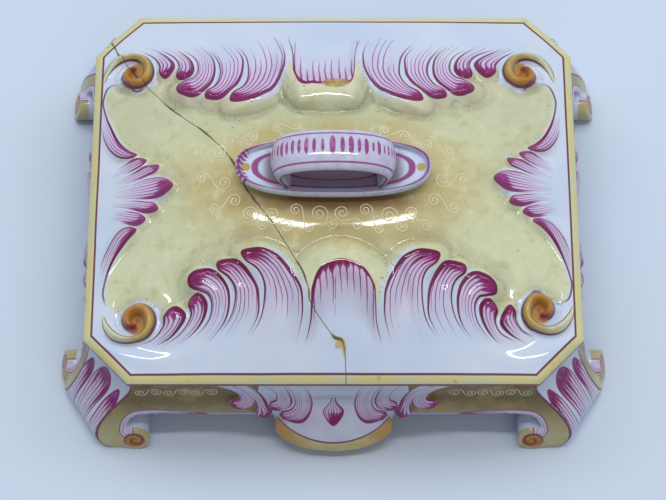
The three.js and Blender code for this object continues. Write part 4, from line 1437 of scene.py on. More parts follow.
@dataclass
class Handle:
    """The strap handle and the boat-shaped saddle that it rises from."""

    seat: float  # height of the lid's land
    dish: float = 4.2  # height of the saddle's dish
    saddle_length: float = 86
    saddle_depth: float = 28
    saddle_squareness: float = 2.6  # shape of its plan, 2 for an ellipse
    saddle_height: float = 6.7  # height of its rim
    rim: float = 2.8  # width of that rim
    tuck: float = 2.6  # how far the rim overhangs its foot
    upturn: float = 1.6  # how far the tips turn up
    span: float = 54.6  # outer span of the strap
    height: float = 22.4  # height of its arch
    width: float = 19.4
    thickness: float = 6
    camber: float = 1.3  # fall of its rounded top from the middle to the painted side lines
    turn_in: float = 3  # how far its ends turn in
    squareness: float = 2.2  # shape of its arch, 2 for an ellipse

    def arch(self, inset: float) -> Array:
        """Gives the strap's line in X and Z, drawn in by an inset.

        Args:
            inset: How far it lies inside the outer line.

        Returns:
            Points from the left foot to the right one.
        """
        half = self.span / 2 - inset
        shoulder = 0.36 * self.height
        rise = self.height - shoulder - inset
        angle = np.linspace(np.pi, 0, ARCH_POINTS)
        power = 2 / self.squareness
        x = half * np.sign(np.cos(angle)) * abs(np.cos(angle)) ** power
        z = shoulder + rise * abs(np.sin(angle)) ** power
        foot = [(-half + self.turn_in, -0.8), (-half + 0.3 * self.turn_in, 0.5 * shoulder)]
        far = [(-x_end, z_end) for x_end, z_end in reversed(foot)]
        return through([*foot, *zip(x, z), *far])[::3]

    def section(self) -> Array:
        """Gives the strap's section: across from -1 to 1 and depth under its outer line.

        Returns:
            The section's points in order.
        """
        face = 0.7
        top = [(a, self.camber * (a / face) ** 2) for a in np.linspace(-face, face, 13)]
        edge = [(0.8, 1.8), (0.9, 2.4), (0.97, 3.2), (1.0, 4.1), (0.97, 5.1), (0.9, 5.7)]
        under = [(a, self.thickness) for a in np.linspace(0.78, -0.78, 9)]
        return np.array([*top, *edge, *under, *[(-a, d) for a, d in reversed(edge)]])

    def strap(self) -> Piece:
        """Makes the strap by carrying its section along the arch.

        Returns:
            The piece.
        """
        section = self.section()
        lines = np.array([self.arch(depth) for depth in section[:, 1]])
        steps = lines.shape[1]
        across = np.repeat(section[:, :1] * self.width / 2, steps, axis=1)
        z = lines[..., 1] + self.seat + self.dish + 0.5
        rings = np.stack([lines[..., 0], across, z], 2).transpose(1, 0, 2)
        clay = Clay()
        clay.loft(rings)
        mesh = clay.mesh("handle_strap_glazed")
        run = np.repeat(np.linspace(0, 1, steps), len(section))
        write(mesh, "strap", np.column_stack([run, np.tile(section, (steps, 1))]))
        turned_out(mesh)
        made = shown("strap_glazed", mesh, HandlePaint("painted_strap").strap())
        return self.seated(made, "handle_strap")

    def saddle(self) -> Piece:
        """Makes the saddle by carrying its section round a squarish oval.

        Returns:
            The piece.
        """
        half_x, half_y = self.saddle_length / 2, self.saddle_depth / 2
        tall, rim = self.saddle_height, self.rim
        profile = [
            (self.tuck + 3, -0.9), (self.tuck, -0.5), (0.3 * self.tuck, 0.25 * tall), (0, 0.6 * tall),
            (0.15 * rim, 0.9 * tall), (0.45 * rim, tall), (0.75 * rim, blend(self.dish, tall, 0.7)),
            (rim, self.dish), (rim + 3, self.dish - 0.2), (half_y - 0.6, self.dish),
        ]
        section = through(profile)[::2]
        angle = np.linspace(0, 2 * np.pi, 181)[:-1]
        inward, height = section[:, 0], section[:, 1]
        power = 2 / self.saddle_squareness
        round_x = np.sign(np.cos(angle)) * abs(np.cos(angle)) ** power
        round_y = np.sign(np.sin(angle)) * abs(np.sin(angle)) ** power
        x = (half_x - inward)[None, :] * round_x[:, None]
        y = (half_y - inward)[None, :] * round_y[:, None]
        past = np.clip((abs(x) - self.span / 2) / (half_x - self.span / 2), 0, 1)
        z = self.seat + 0.3 + height[None, :] + self.upturn * past**2
        clay = Clay()
        clay.loft(np.stack([x, y, z], 2).transpose(1, 0, 2))
        mesh = clay.mesh("handle_saddle_glazed")
        around = np.tile(angle / (2 * np.pi), len(section))
        depth = np.repeat(inward, len(angle))
        write(mesh, "saddle", np.stack([depth, around, past.T.ravel()], 1))
        turned_out(mesh)
        made = shown("saddle_glazed", mesh, HandlePaint("painted_saddle").saddle())
        return self.seated(made, "handle_saddle")

    def seated(self, piece: Piece, node: str) -> Piece:
        """Lets a piece of the handle stand for its node and ride on the lid.

        Args:
            piece: The piece.
            node: The node's name.

        Returns:
            The piece.
        """
        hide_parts(node)
        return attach(piece, "lid")


def turned_out(mesh: Mesh) -> None:
    """Turns a closed mesh's faces outwards.

    Args:
        mesh: The mesh, changed in place.
    """
    work = bmesh.new()
    work.from_mesh(mesh)
    bmesh.ops.recalc_face_normals(work, faces=work.faces)
    work.to_mesh(mesh)
    work.free()
    mesh.update()


# Box

WALL_PITCH = 0.9  # distance between a wall's columns of vertices
WALL_ROWS = 34
FOOT_RINGS = 95

# Shells beside the middle of a wall: distance from its middle and height over the ground
WALL_LOBES = (
    feather(
        [(13.4, 46), (11, 38), (9.4, 30), (11.4, 23.4), (16, 20.2)], (23.4, 20.8),
        [(23, 25.4), (18.8, 27.2), (17, 31.5), (18.4, 38), (22, 46)],
        4.8, skirt=2.6, crest=2.2, strokes=8, head=0.24,
    ),
    feather(
        [(23, 46), (20.2, 39), (18.4, 33), (19.4, 28.8), (23, 27)], (28.4, 28.4),
        [(28, 32), (25.2, 34.2), (25.8, 38.6), (30.6, 46)], 4.2, skirt=2.2, crest=1.8, strokes=7, head=0.24,
    ),
    feather(
        [(39.5, 46), (33, 38), (29.4, 31), (27.4, 25.6)], (29.4, 21.4),
        [(34.6, 23.4), (34, 29.6), (36.4, 36), (43, 44)], 4.2, skirt=2.4, crest=2.0, strokes=4, head=0.34,
    ),
    feather(
        [(47, 46), (40, 41.4), (35.2, 36.6), (34.8, 31.4), (38.8, 27.8)], (45.4, 29.4),
        [(44.8, 33.4), (41.4, 34.8), (43, 38.4), (51, 44)], 4.0, skirt=2.4, crest=1.8, strokes=6, head=0.26,
    ),
    feather(
        [(81, 20.6), (73, 19), (65, 17.8)], (56, 18.4),
        [(64, 21.4), (72, 23), (81, 24.4)], 0.8, skirt=1.2, crest=1.2, strokes=3, head=0.4,
    ),
    feather(
        [(1.1, 44), (0.9, 36), (1.5, 31), (4.6, 26.4)], (0, 20.8),
        [(-4.6, 26.4), (-1.5, 31), (-0.9, 36), (-1.1, 44)], 0.0, skirt=2.2, crest=2.0, strokes=7, head=0.2,
    ),
)
SHELLS = 4  # number of lobes that make up a shell
DROP = 5  # number of the drop under the stem, only on the front and the back

# Leaves on the face of a cut corner: distance from its middle, less than 0 towards the long side, and height
CORNER_LOBES = (
    feather(
        [(-3, 3), (-4, 18), (-4.4, 30)], (1, 39),
        [(5.4, 31), (5, 18), (4, 3)], 1.6, skirt=1.8, crest=2.4, strokes=6, head=0.48, fade=1.4,
    ),
    feather(
        [(-12, 3), (-12.4, 16), (-12, 26)], (-8.8, 33.5),
        [(-6.2, 26), (-6.4, 16), (-6.6, 3)], 1.2, skirt=1.6, crest=1.8, strokes=4, head=0.48, fade=1.4,
    ),
    feather(
        [(7, 3), (6.8, 16), (6.6, 28)], (9.6, 36),
        [(12, 29), (12.4, 18), (12.6, 5)], 1.2, skirt=1.6, crest=1.8, strokes=4, head=0.48, fade=1.4,
    ),
)


class Wall(Enum):
    """The four sides of the box, each with the quarter turns that take the front to it."""

    FRONT = 0
    RIGHT = 1
    BACK = 2
    LEFT = 3


@dataclass
class Box:
    """The box: four flared walls with shells, two cartouches and four scrolled corner feet."""

    half_x: float  # half the length at the rim
    half_y: float  # half the depth at the rim
    rim_height: float
    cut: float = 19.41  # what each corner loses on either side at the rim
    wall: float = 7
    wall_flare: float = 4.6  # how far the walls spread down to the apron
    flare_drop: float = 5  # straight part under the rim
    apron: float = 17  # height of the walls' lower edge
    arch_height: float = 21  # top of the arch beside each foot
    arch_span: float = 26  # length of that arch
    seam: float = 4  # from the corner cut to the seam of wall and foot
    foot_flare: float = 15.5  # how far the feet spread
    foot_sink: float = 6  # how far under the ground that curve would end
    foot_sweep: float = 24  # length of wall that grows into a foot
    heel: Pair = (18, 9)  # how far a corner's edge runs out on a long and on a short side
    heel_height: float = 9  # height at which it runs out most
    heel_tuck: float = 0.33  # share of that reach that is lost again down to the ground
    leg: float = 10  # thickness of a foot's legs
    leg_ledge: float = 2  # height over which a leg turns into the wall
    floor_height: float = 17.5  # underside of the floor
    neck_height: float = 12  # height of the scroll's neck
    neck: Pair = (8, 3)  # how far the neck lies outside the seam on a long and on a short side
    roll_radius: float = 6.5  # radius of the rolls that end the scrolls
    roll_proud: Pair = (0.6, 2)  # how far they stand proud on a long and on a short side
    roll: Pair = (0.4, -4)  # from the corner cut to their axis on a long and on a short side
    side_lift: float = 0.5  # share of the shells' lift on the short sides
    cartouche_width: float = 54
    cartouche_top: float = 34  # height of its upper edge in the middle
    cartouche_bottom: float = 5  # height of its lower edge there
    cartouche_end_rise: float = 8  # how much higher its ends lie
    cartouche_flare: float = 12.5  # how far it flares out to its rim
    cartouche_end_share: float = 0.2  # share of that flare at its ends
    cartouche_sweep: float = 1.4  # half the angle of its crescent, in radians
    cartouche_edge: float = 1.2  # how far its upper edge stands proud
    cartouche_thickness: float = 5
    voxel: float = 0.75  # size of the clay's grain when the parts are luted together

    def flared(self, z: Array, end: float) -> Array:
        """Gives the share of a flare that starts under the rim and is full at its end's height."""
        top = self.rim_height - self.flare_drop
        return ease((top - z) / (top - end))

    def flare_of_wall(self, z: Array) -> Array:
        """Gives how far a wall stands out at a height."""
        return self.wall_flare * self.flared(z, self.apron)

    def flare_of_foot(self, z: Array) -> Array:
        """Gives how far a foot stands out at a height."""
        return self.foot_flare * self.flared(z, -self.foot_sink)

    def heel_of(self, z: Array) -> Array:
        """Gives the share of its reach that a corner's edge has run out at a height.

        Args:
            z: Heights over the ground.

        Returns:
            The shares.
        """
        above = self.flared(z, self.heel_height)
        below = 1 - self.heel_tuck * ((self.heel_height - z) / self.heel_height) ** 2
        return np.where(z >= self.heel_height, above, below)

    def flare_of_side(self, from_cut: Array, z: Array) -> Array:
        """Gives how far a side stands out, from the wall's flare into the foot's."""
        return blend(self.flare_of_foot(z), self.flare_of_wall(z), ease(from_cut / self.foot_sweep))

    def halves(self, side: Wall) -> Pair:
        """Gives half the length of a side and the distance of its rim from the middle."""
        long_side = side in (Wall.FRONT, Wall.BACK)
        return (self.half_x, self.half_y) if long_side else (self.half_y, self.half_x)

    def lower_edge(self, half: float, along: Array) -> Array:
        """Gives the height of a wall's lower edge, with the arch up to each foot.

        Args:
            half: Half the side's length.
            along: Places along the side.

        Returns:
            The heights.
        """
        from_cut = half - self.cut - abs(along)
        share = (self.arch_span - from_cut) / (self.arch_span - 2 * self.seam)
        return blend(self.apron, self.arch_height, ease(share))

    def shells(self, along: Array, z: Array) -> Array:
        """Gives the full lift of the shells on a wall.

        Args:
            along: Places along the side.
            z: Heights over the ground.

        Returns:
            The lifts.
        """
        relief = Relief(WALL_LOBES[:SHELLS])
        relief.measure([np.stack([abs(along), z], 1)] * SHELLS)
        return relief.height() * ease((self.rim_height - z) / self.flare_drop)

    def put_wall(self, clay: Clay, side: Wall) -> None:
        """Adds one wall, reaching a little into the feet on either hand.

        Args:
            clay: The box's clay so far.
            side: The wall's side.
        """
        half, rim = self.halves(side)
        reach = half - self.cut - self.seam + 3
        columns = np.linspace(-reach, reach, round(2 * reach / WALL_PITCH))
        along, share = np.meshgrid(columns, np.linspace(0, 1, WALL_ROWS))
        z = blend(self.lower_edge(half, along), self.rim_height, share)
        lift = 1.0 if side in (Wall.FRONT, Wall.BACK) else self.side_lift
        face = rim + self.flare_of_side(half - self.cut - abs(along), z)
        face = face + lift * self.shells(along.ravel(), z.ravel()).reshape(z.shape)
        back = rim + self.flare_of_wall(z) - self.wall
        clay.slab(self.turned(along, -face, z, side), self.turned(along, -back, z, side))

    def turned(self, x: Array, y: Array, z: Array, side: Wall) -> Array:
        """Turns points of the front to another side."""
        cos, sin = round(math.cos(side.value * math.pi / 2)), round(math.sin(side.value * math.pi / 2))
        return np.stack([x * cos - y * sin, x * sin + y * cos, z], -1)

    def corner_line(self, z: Array) -> tuple[Array, Array, Array, Array]:
        """Gives the edges of a corner's face at a height.

        Args:
            z: Heights over the ground.

        Returns:
            X and Y of the edge on the long side, then of the one on the short side.
        """
        outer, heel = self.flare_of_foot(z), self.heel_of(z)
        front_x = self.half_x - self.cut + self.heel[0] * heel
        side_y = self.half_y - self.cut + self.heel[1] * heel
        return front_x, self.half_y + outer, self.half_x + outer, side_y

    def foot_ring(self, z: float) -> list[Triple]:
        """Gives the plan of a corner and its foot at a height, in the quarter of +X and +Y.

        Args:
            z: The height.

        Returns:
            The outline's corners in order.
        """
        outer = float(self.flare_of_foot(np.array(z)))
        leg_share = min(1.0, max(0.0, (z - self.floor_height + self.leg_ledge) / self.leg_ledge))
        inner = blend(outer - self.leg, float(self.flare_of_wall(z)) - self.wall, leg_share)
        front_x, front_y, side_x, side_y = (float(value) for value in self.corner_line(np.array(z)))
        normal = Vector((front_y - side_y, side_x - front_x)).normalized()
        face_x, face_y = self.half_x + inner, self.half_y + inner
        inner_x = front_x - (outer - inner + normal.y * (face_y - front_y)) / normal.x
        inner_y = front_y - (outer - inner + normal.x * (face_x - front_x)) / normal.y
        arch = min(1.0, max(0.0, (z - self.neck_height) / (self.arch_height - self.neck_height)))
        necks = [-self.seam + neck * math.sqrt(1 - arch * arch) for neck in self.neck]
        end_x, end_y = self.half_x - self.cut + necks[0], self.half_y - self.cut + necks[1]
        seam_x, seam_y = (float(self.flare_of_side(-neck, z)) for neck in necks)
        return [
            (end_x, self.half_y + seam_x, z), (front_x, front_y, z), (side_x, side_y, z),
            (self.half_x + seam_y, end_y, z), (face_x, end_y, z), (face_x, inner_y, z),
            (inner_x, face_y, z), (end_x, face_y, z),
        ]

    def put_foot(self, clay: Clay, sign_x: int, sign_y: int) -> None:
        """Adds one corner with its foot and the two rolls of its scrolls.

        Args:
            clay: The box's clay so far.
            sign_x: 1 on the right, -1 on the left.
            sign_y: 1 at the back, -1 at the front.
        """
        mirror = np.array([sign_x, sign_y, 1.0])
        heights = np.linspace(0, self.rim_height, FOOT_RINGS)
        rings = np.array([self.foot_ring(float(z)) for z in heights]) * mirror
        clay.loft(rings if sign_x * sign_y < 0 else rings[:, ::-1])
        angle = np.linspace(0, 2 * np.pi, 49)[:-1]
        circle_u, circle_v = self.roll_radius * np.cos(angle), self.roll_radius * (1 + np.sin(angle))
        for half_run, half_out, roll, proud, swap in (
            (self.half_x, self.half_y, self.roll[0], self.roll_proud[0], False),
            (self.half_y, self.half_x, self.roll[1], self.roll_proud[1], True),
        ):
            along = np.tile(half_run - self.cut + roll + circle_u, (2, 1))
            z = np.tile(circle_v, (2, 1))
            out = half_out + self.flare_of_foot(z) + np.array([[-self.leg], [proud]])
            ring = np.stack([out, along, z] if swap else [along, out, z], -1) * mirror
            clay.loft(ring)

    def put_cartouche(self, clay: Clay, side: Wall) -> None:
        """Adds the tongue of clay that flares from the middle of a long wall to a crescent rim.

        Args:
            clay: The box's clay so far.
            side: FRONT or BACK.
        """
        angle, share = np.meshgrid(np.linspace(-1, 1, 71) * self.cartouche_sweep, np.linspace(0, 1, 40))
        along, bottom, top = self.crescent(angle)
        z = blend(top, bottom, share)
        round_share = blend(self.cartouche_end_share, 1, np.cos(angle))
        proud = self.cartouche_edge + self.cartouche_flare * ease(share) * round_share
        face = self.half_y + self.flare_of_side(self.half_x - self.cut - abs(along), z) + proud
        back = face - self.cartouche_thickness - proud * 0.4
        clay.slab(self.turned(along, -face, z, side)[::-1], self.turned(along, -back, z, side)[::-1])

    def crescent(self, angle: Array) -> tuple[Array, Array, Array]:
        """Gives the cartouche's outline.

        Args:
            angle: Angles round its crescent, 0 in the middle.

        Returns:
            Places along the wall, heights of the lower edge and of the upper one.
        """
        along = np.sin(angle) * self.cartouche_width / 2
        bottom = self.cartouche_bottom + self.cartouche_end_rise * (1 - np.cos(angle))
        top = blend(self.cartouche_bottom + self.cartouche_end_rise, self.cartouche_top, np.cos(angle))
        return along, bottom, top

    def luted(self) -> Mesh:
        """Lutes all the parts into one soft-edged body.

        Returns:
            The body.
        """
        clay = Clay()
        for side in Wall:
            self.put_wall(clay, side)
        for side in (Wall.FRONT, Wall.BACK):
            self.put_cartouche(clay, side)
        for sign_x in (-1, 1):
            for sign_y in (-1, 1):
                self.put_foot(clay, sign_x, sign_y)
        mesh = clay.mesh("box_clay")
        turned_out(mesh)
        body = shown("box_clay", mesh)
        grain = body.modifiers.new("grain", "REMESH")
        grain.mode = "VOXEL"
        grain.voxel_size = self.voxel * MM
        grain.use_smooth_shade = True
        soften = body.modifiers.new("soften", "SMOOTH")
        soften.factor = 0.5
        soften.iterations = 4
        return settled(body, "box_body")

    def lower_line(self, half: float, neck: float) -> Array:
        """Gives the lower edge of a side from its middle to the end of its scroll.

        Args:
            half: Half the side's length.
            neck: How far its scroll's neck lies outside the seam.

        Returns:
            The edge's points, along and up.
        """
        along = np.linspace(0, half - self.cut - self.seam, 60)
        apron = np.column_stack([along, self.lower_edge(half, along)])
        z = np.linspace(self.arch_height, self.neck_height, 20)[1:]
        arch = (z - self.neck_height) / (self.arch_height - self.neck_height)
        end = half - self.cut - self.seam + neck * np.sqrt(1 - arch**2)
        return np.vstack([apron, np.column_stack([end, z])])

    def mark(self, mesh: Mesh) -> None:
        """Stores on a piece of the box what its paint needs to know.

        Args:
            mesh: The piece's mesh.
        """
        at = places_of(mesh)
        x, y, z = at.T
        front_x, front_y, side_x, side_y = self.corner_line(z)
        run_x, run_y = side_x - front_x, side_y - front_y
        length = np.hypot(run_x, run_y)
        off_x, off_y = abs(x) - front_x, abs(y) - front_y
        corner_at = (off_x * run_x + off_y * run_y) / length - length / 2
        corner_deep = (off_x * run_y - off_y * run_x) / length
        long_side = (abs(x) - self.half_x) - (abs(y) - self.half_y) < 0
        along = np.where(long_side, x, y)
        half = np.where(long_side, self.half_x, self.half_y)
        rim = np.where(long_side, self.half_y, self.half_x)
        out = np.where(long_side, abs(y), abs(x))
        edge = np.where(long_side, front_x, side_y) - abs(along)
        flat = rim + self.flare_of_side(half - self.cut - abs(along), z) - out
        deep = np.where(edge > 0, flat, corner_deep)
        plane = np.stack([abs(along), z], 1)
        low = np.empty(len(at))
        sides = ((long_side, self.half_x, self.neck[0]), (~long_side, self.half_y, self.neck[1]))
        for pick, half_run, neck in sides:
            low[pick], _ = nearest(self.lower_line(half_run, neck), plane[pick])
        write(mesh, "side", np.stack([along, z, deep], 1))
        write(mesh, "margin", np.stack([edge, low, corner_at], 1))
        write(mesh, "eye", half - self.cut + np.where(long_side, *self.roll))
        self.mark_lobes(mesh, at, long_side, edge, deep, corner_at)
        self.mark_cartouche(mesh, along, z, -deep, long_side)

    def mark_lobes(
        self, mesh: Mesh, at: Array, long_side: Array, edge: Array, deep: Array, corner_at: Array
    ) -> None:
        """Stores the painted lobes of the walls and of the cut corners.

        Args:
            mesh: The piece.
            at: Its vertices.
            long_side: True on the front and the back.
            edge: Distance from the corner's edge.
            deep: Depth behind the outer face.
            corner_at: Place across the corner's face.
        """
        along = np.where(long_side, at[:, 0], at[:, 1])
        wall_at = np.stack([abs(along), at[:, 2]], 1)
        drop_at = np.stack([along, at[:, 2]], 1)
        leaf_at = np.stack([corner_at, at[:, 2]], 1)
        relief = Relief((*WALL_LOBES, *CORNER_LOBES))
        relief.measure([*[wall_at] * DROP, drop_at, *[leaf_at] * len(CORNER_LOBES)])
        outside = deep < 3
        on_wall, on_corner = outside & (edge > 0), outside & (edge <= 0)
        proud = deep < -0.5
        on_long = on_wall & long_side
        allowed = [*[on_wall] * SHELLS, on_long, on_long & proud, *[on_corner] * len(CORNER_LOBES)]
        quarter = np.where(at[:, 0] > 0, 1.0, 2.0) + np.where(at[:, 1] > 0, 4.0, 0.0)
        relief.paint(mesh, quarter, np.ones(len(at)), np.stack(allowed))
        shell = np.min([-lobe.depth for lobe in relief.measured[:SHELLS]], axis=0)
        write(mesh, "shell", np.where(abs(along) < 33, -2.0, shell))

    def mark_cartouche(self, mesh: Mesh, along: Array, z: Array, proud: Array, long_side: Array) -> None:
        """Stores where the cartouche's rim runs.

        Args:
            mesh: The piece.
            along: Place along the side.
            z: Height over the ground.
            proud: How far the surface stands out from the wall.
            long_side: True on the front and the back.
        """
        angle = np.arcsin(np.clip(2 * along / self.cartouche_width, -1, 1))
        _, bottom, top = self.crescent(angle)
        stands = long_side & (abs(along) < self.cartouche_width / 2) & (z < top + 1)
        round_share = blend(self.cartouche_end_share, 1, np.cos(angle))
        rim = (self.cartouche_edge + self.cartouche_flare * round_share - proud) * 0.93 + (z - bottom) * 0.37
        write(mesh, "cartouche", np.stack([rim, np.where(stands, proud, -1.0), along], 1))

    def build(self) -> list[Piece]:
        """Makes the eight pieces of the box, cut from one body so that they meet without a gap.

        Returns:
            The pieces.
        """
        body = self.luted()
        paint = BoxPaint(self).material()
        seam_x = self.half_x - self.cut - self.seam
        seam_y = self.half_y - self.cut - self.seam
        ends_x = [(1, 0, seam_x), (-1, 0, seam_x)]
        ends_y = [(0, 1, seam_y), (0, -1, seam_y)]
        made = []
        for planes, nodes in (
            ([*ends_x, (0, 1, 0)], ["front_wall", "front_cartouche"]),
            ([*ends_x, (0, -1, 0)], ["back_wall", "back_cartouche"]),
            ([*ends_y, (-1, 0, 0)], ["right_wall"]),
            ([*ends_y, (1, 0, 0)], ["left_wall"]),
            ([(1, 0, -seam_x), (0, 1, -seam_y)], ["foot_front_left"]),
            ([(-1, 0, -seam_x), (0, 1, -seam_y)], ["foot_front_right"]),
            ([(1, 0, -seam_x), (0, -1, -seam_y)], ["foot_back_left"]),
            ([(-1, 0, -seam_x), (0, -1, -seam_y)], ["foot_back_right"]),
        ):
            name = nodes[0] + "_glazed"
            piece = shown(name, carved(body, planes, name), paint)
            self.mark(piece.data)
            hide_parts(*nodes)
            made.append(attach(piece, "box"))
        bpy.data.meshes.remove(body)
        return made


def carved(body: Mesh, planes: Sequence[Triple], name: str) -> Mesh:
    """Cuts a piece out of a body along upright planes.

    Args:
        body: The whole body.
        planes: Direction in plan and distance from the middle of each plane, whose far side goes.
        name: Name of the new mesh.

    Returns:
        The piece, closed along its cuts.
    """
    work = bmesh.new()
    work.from_mesh(body)
    for x, y, distance in planes:
        everything = [*work.verts, *work.edges, *work.faces]
        point = Vector((x, y, 0)) * distance * MM
        cut = bmesh.ops.bisect_plane(
            work, geom=everything, dist=1e-7, plane_co=point, plane_no=(x, y, 0), clear_outer=True
        )
        edges = [item for item in cut["geom_cut"] if isinstance(item, bmesh.types.BMEdge)]
        bmesh.ops.holes_fill(work, edges=edges, sides=0)
    made = bpy.data.meshes.new(name)
    work.to_mesh(made)
    work.free()
    made.shade_smooth()
    return made


# Slip-trailed curls

CURL_POINTS = 46


@dataclass(frozen=True)
class Curl:
    """One trailed spiral: its middle, its radius and its turns."""

    x: float
    y: float
    radius: float
    turns: float = 1.6

    def line(self, start: float, hand: int) -> Array:
        """Gives the spiral's points from its open end inwards.

        Args:
            start: Angle of the open end, in radians.
            hand: 1 to wind counter-clockwise, -1 to wind clockwise.

        Returns:
            The points in the plane of the spiral.
        """
        share = np.linspace(0, 1, CURL_POINTS)
        angle = start + hand * 2 * np.pi * self.turns * share
        radius = self.radius * (1 - 0.86 * share**0.8)
        return np.column_stack([self.x + radius * np.cos(angle), self.y + radius * np.sin(angle)])


def linked(first: Curl, second: Curl, hand: int = 1) -> Array:
    """Joins two spirals into one trailed scroll along the line that touches both.

    Args:
        first: The spiral that the scroll starts from.
        second: The spiral that it ends in.
        hand: 1 if both wind counter-clockwise, -1 if clockwise.

    Returns:
        The scroll's points.
    """
    run = np.array([second.x - first.x, second.y - first.y])
    lean = math.asin(min(1.0, (first.radius + second.radius) / np.hypot(*run)))
    heading = math.atan2(run[1], run[0]) - hand * lean
    out = first.line(heading + hand * math.pi / 2, hand)[::-1]
    back = second.line(heading - hand * math.pi / 2, hand)
    return np.vstack([out, blend(out[-1], back[0], np.linspace(0, 1, 6)[1:-1, None]), back])


def front_row() -> list[Array]:
    """Gives the two loose rows of linked scrolls before the handle.

    Returns:
        The scrolls' points in plan.
    """
    lines = []
    for step in range(8):
        x = -37 + step * 10.2
        swing = math.sin(2.3 * step)
        first = Curl(x, -19 - 1.2 * swing, 3.7 + 0.7 * swing, 1.8)
        second = Curl(x + 6.2, -25 + 1.2 * math.cos(1.9 * step), 2.6 + 0.5 * swing)
        lines.append(linked(first, second, -1 if step % 3 == 1 else 1))
    return lines


LID_SCROLLS = (
    *front_row(),
    linked(Curl(-36.5, 19, 3.4, 1.7), Curl(-46.5, 17, 3.0)),
    linked(Curl(-51, 11.4, 3.6, 1.8), Curl(-60, 12, 2.6), -1),
    linked(Curl(-48.5, -3.6, 3.6, 1.7), Curl(-58.4, -0.4, 2.8)),
    linked(Curl(-43.5, -12.6, 3.2, 1.7), Curl(-52.4, -15, 2.8), -1),
    linked(Curl(-25, 22, 2.6), Curl(-16.4, 23.2, 2.2)),
    linked(Curl(23, 20.6, 3.0), Curl(31.4, 18, 3.2, 1.8), -1),
    linked(Curl(41.6, 15, 4.0, 2.0), Curl(51.6, 12.4, 2.8)),
    linked(Curl(48.4, -2.2, 3.8, 1.8), Curl(57.6, -1, 2.8), -1),
    linked(Curl(44.4, -12.2, 3.4, 1.7), Curl(53, -14.6, 2.8)),
)
WALL_SCROLLS = tuple(
    linked(Curl(at, 37.2, 3.5, 1.8), Curl(at + 6.8, 36.8, 3.0, 1.7)) for at in (54, 66.4, 78.8)
)


@dataclass
class SlipTrail:
    """Cream curls trailed over a glazed surface."""

    width: float = 0.52  # width of the trailed line
    sides: int = 6  # sides of its section

    def tree(self, material: Material) -> bpy.types.NodeTree:
        """Builds the node tree that turns drawn lines into rounded trails.

        Args:
            material: The slip's material.

        Returns:
            The tree, with the trail's width and sides as inputs.
        """
        tree = bpy.data.node_groups.new("slip_trail", "GeometryNodeTree")
        for name, way, kind in (
            ("Lines", "INPUT", "Geometry"), ("Width", "INPUT", "Float"), ("Sides", "INPUT", "Int"),
            ("Trail", "OUTPUT", "Geometry"),
        ):
            tree.interface.new_socket(name, in_out=way, socket_type="NodeSocket" + kind)
        start, end = tree.nodes.new("NodeGroupInput"), tree.nodes.new("NodeGroupOutput")
        half = tree.nodes.new("ShaderNodeMath")
        half.operation = "MULTIPLY"
        half.inputs[1].default_value = 0.5
        curve, section, sweep, smooth, solid, dress = (
            tree.nodes.new("GeometryNode" + kind)
            for kind in (
                "MeshToCurve", "CurvePrimitiveCircle", "CurveToMesh", "SetShadeSmooth", "RealizeInstances",
                "SetMaterial",
            )
        )
        sweep.inputs["Fill Caps"].default_value = True
        dress.inputs["Material"].default_value = material
        for source, output, target, socket in (
            (start, "Lines", curve, "Mesh"), (start, "Width", half, 0), (half, 0, section, "Radius"),
            (start, "Sides", section, "Resolution"), (curve, "Curve", sweep, "Curve"),
            (section, "Curve", sweep, "Profile Curve"), (sweep, "Mesh", smooth, "Geometry"),
            (smooth, "Geometry", solid, "Geometry"), (solid, "Geometry", dress, "Geometry"),
            (dress, "Geometry", end, "Trail"),
        ):
            tree.links.new(source.outputs[output], target.inputs[socket])
        return tree

    def trail(self, name: str, lines: Sequence[Array], body: str, slot: str) -> Piece:
        """Makes one piece of all the curls on a body.

        Args:
            name: The piece's name.
            lines: The curls' points in millimetres.
            body: The body that it rides on.
            slot: The material slot of the surface that it lies on; not used.

        Returns:
            The piece.
        """
        points = np.vstack(lines) * MM
        edges, first = [], 0
        for line in lines:
            edges.extend((first + i, first + i + 1) for i in range(len(line) - 1))
            first += len(line)
        drawn = bpy.data.meshes.new(name)
        drawn.from_pydata(points.tolist(), edges, [])
        source = shown(name + "_drawn", drawn)
        material = SlipLine("cream_slip").material()
        nodes = source.modifiers.new("trail", "NODES")
        nodes.node_group = self.tree(material)
        sockets = {item.name: item.identifier for item in nodes.node_group.interface.items_tree}
        nodes[sockets["Width"]] = self.width * MM
        nodes[sockets["Sides"]] = self.sides
        made = shown(name, settled(source, name), material)
        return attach(made, body)


# Studio


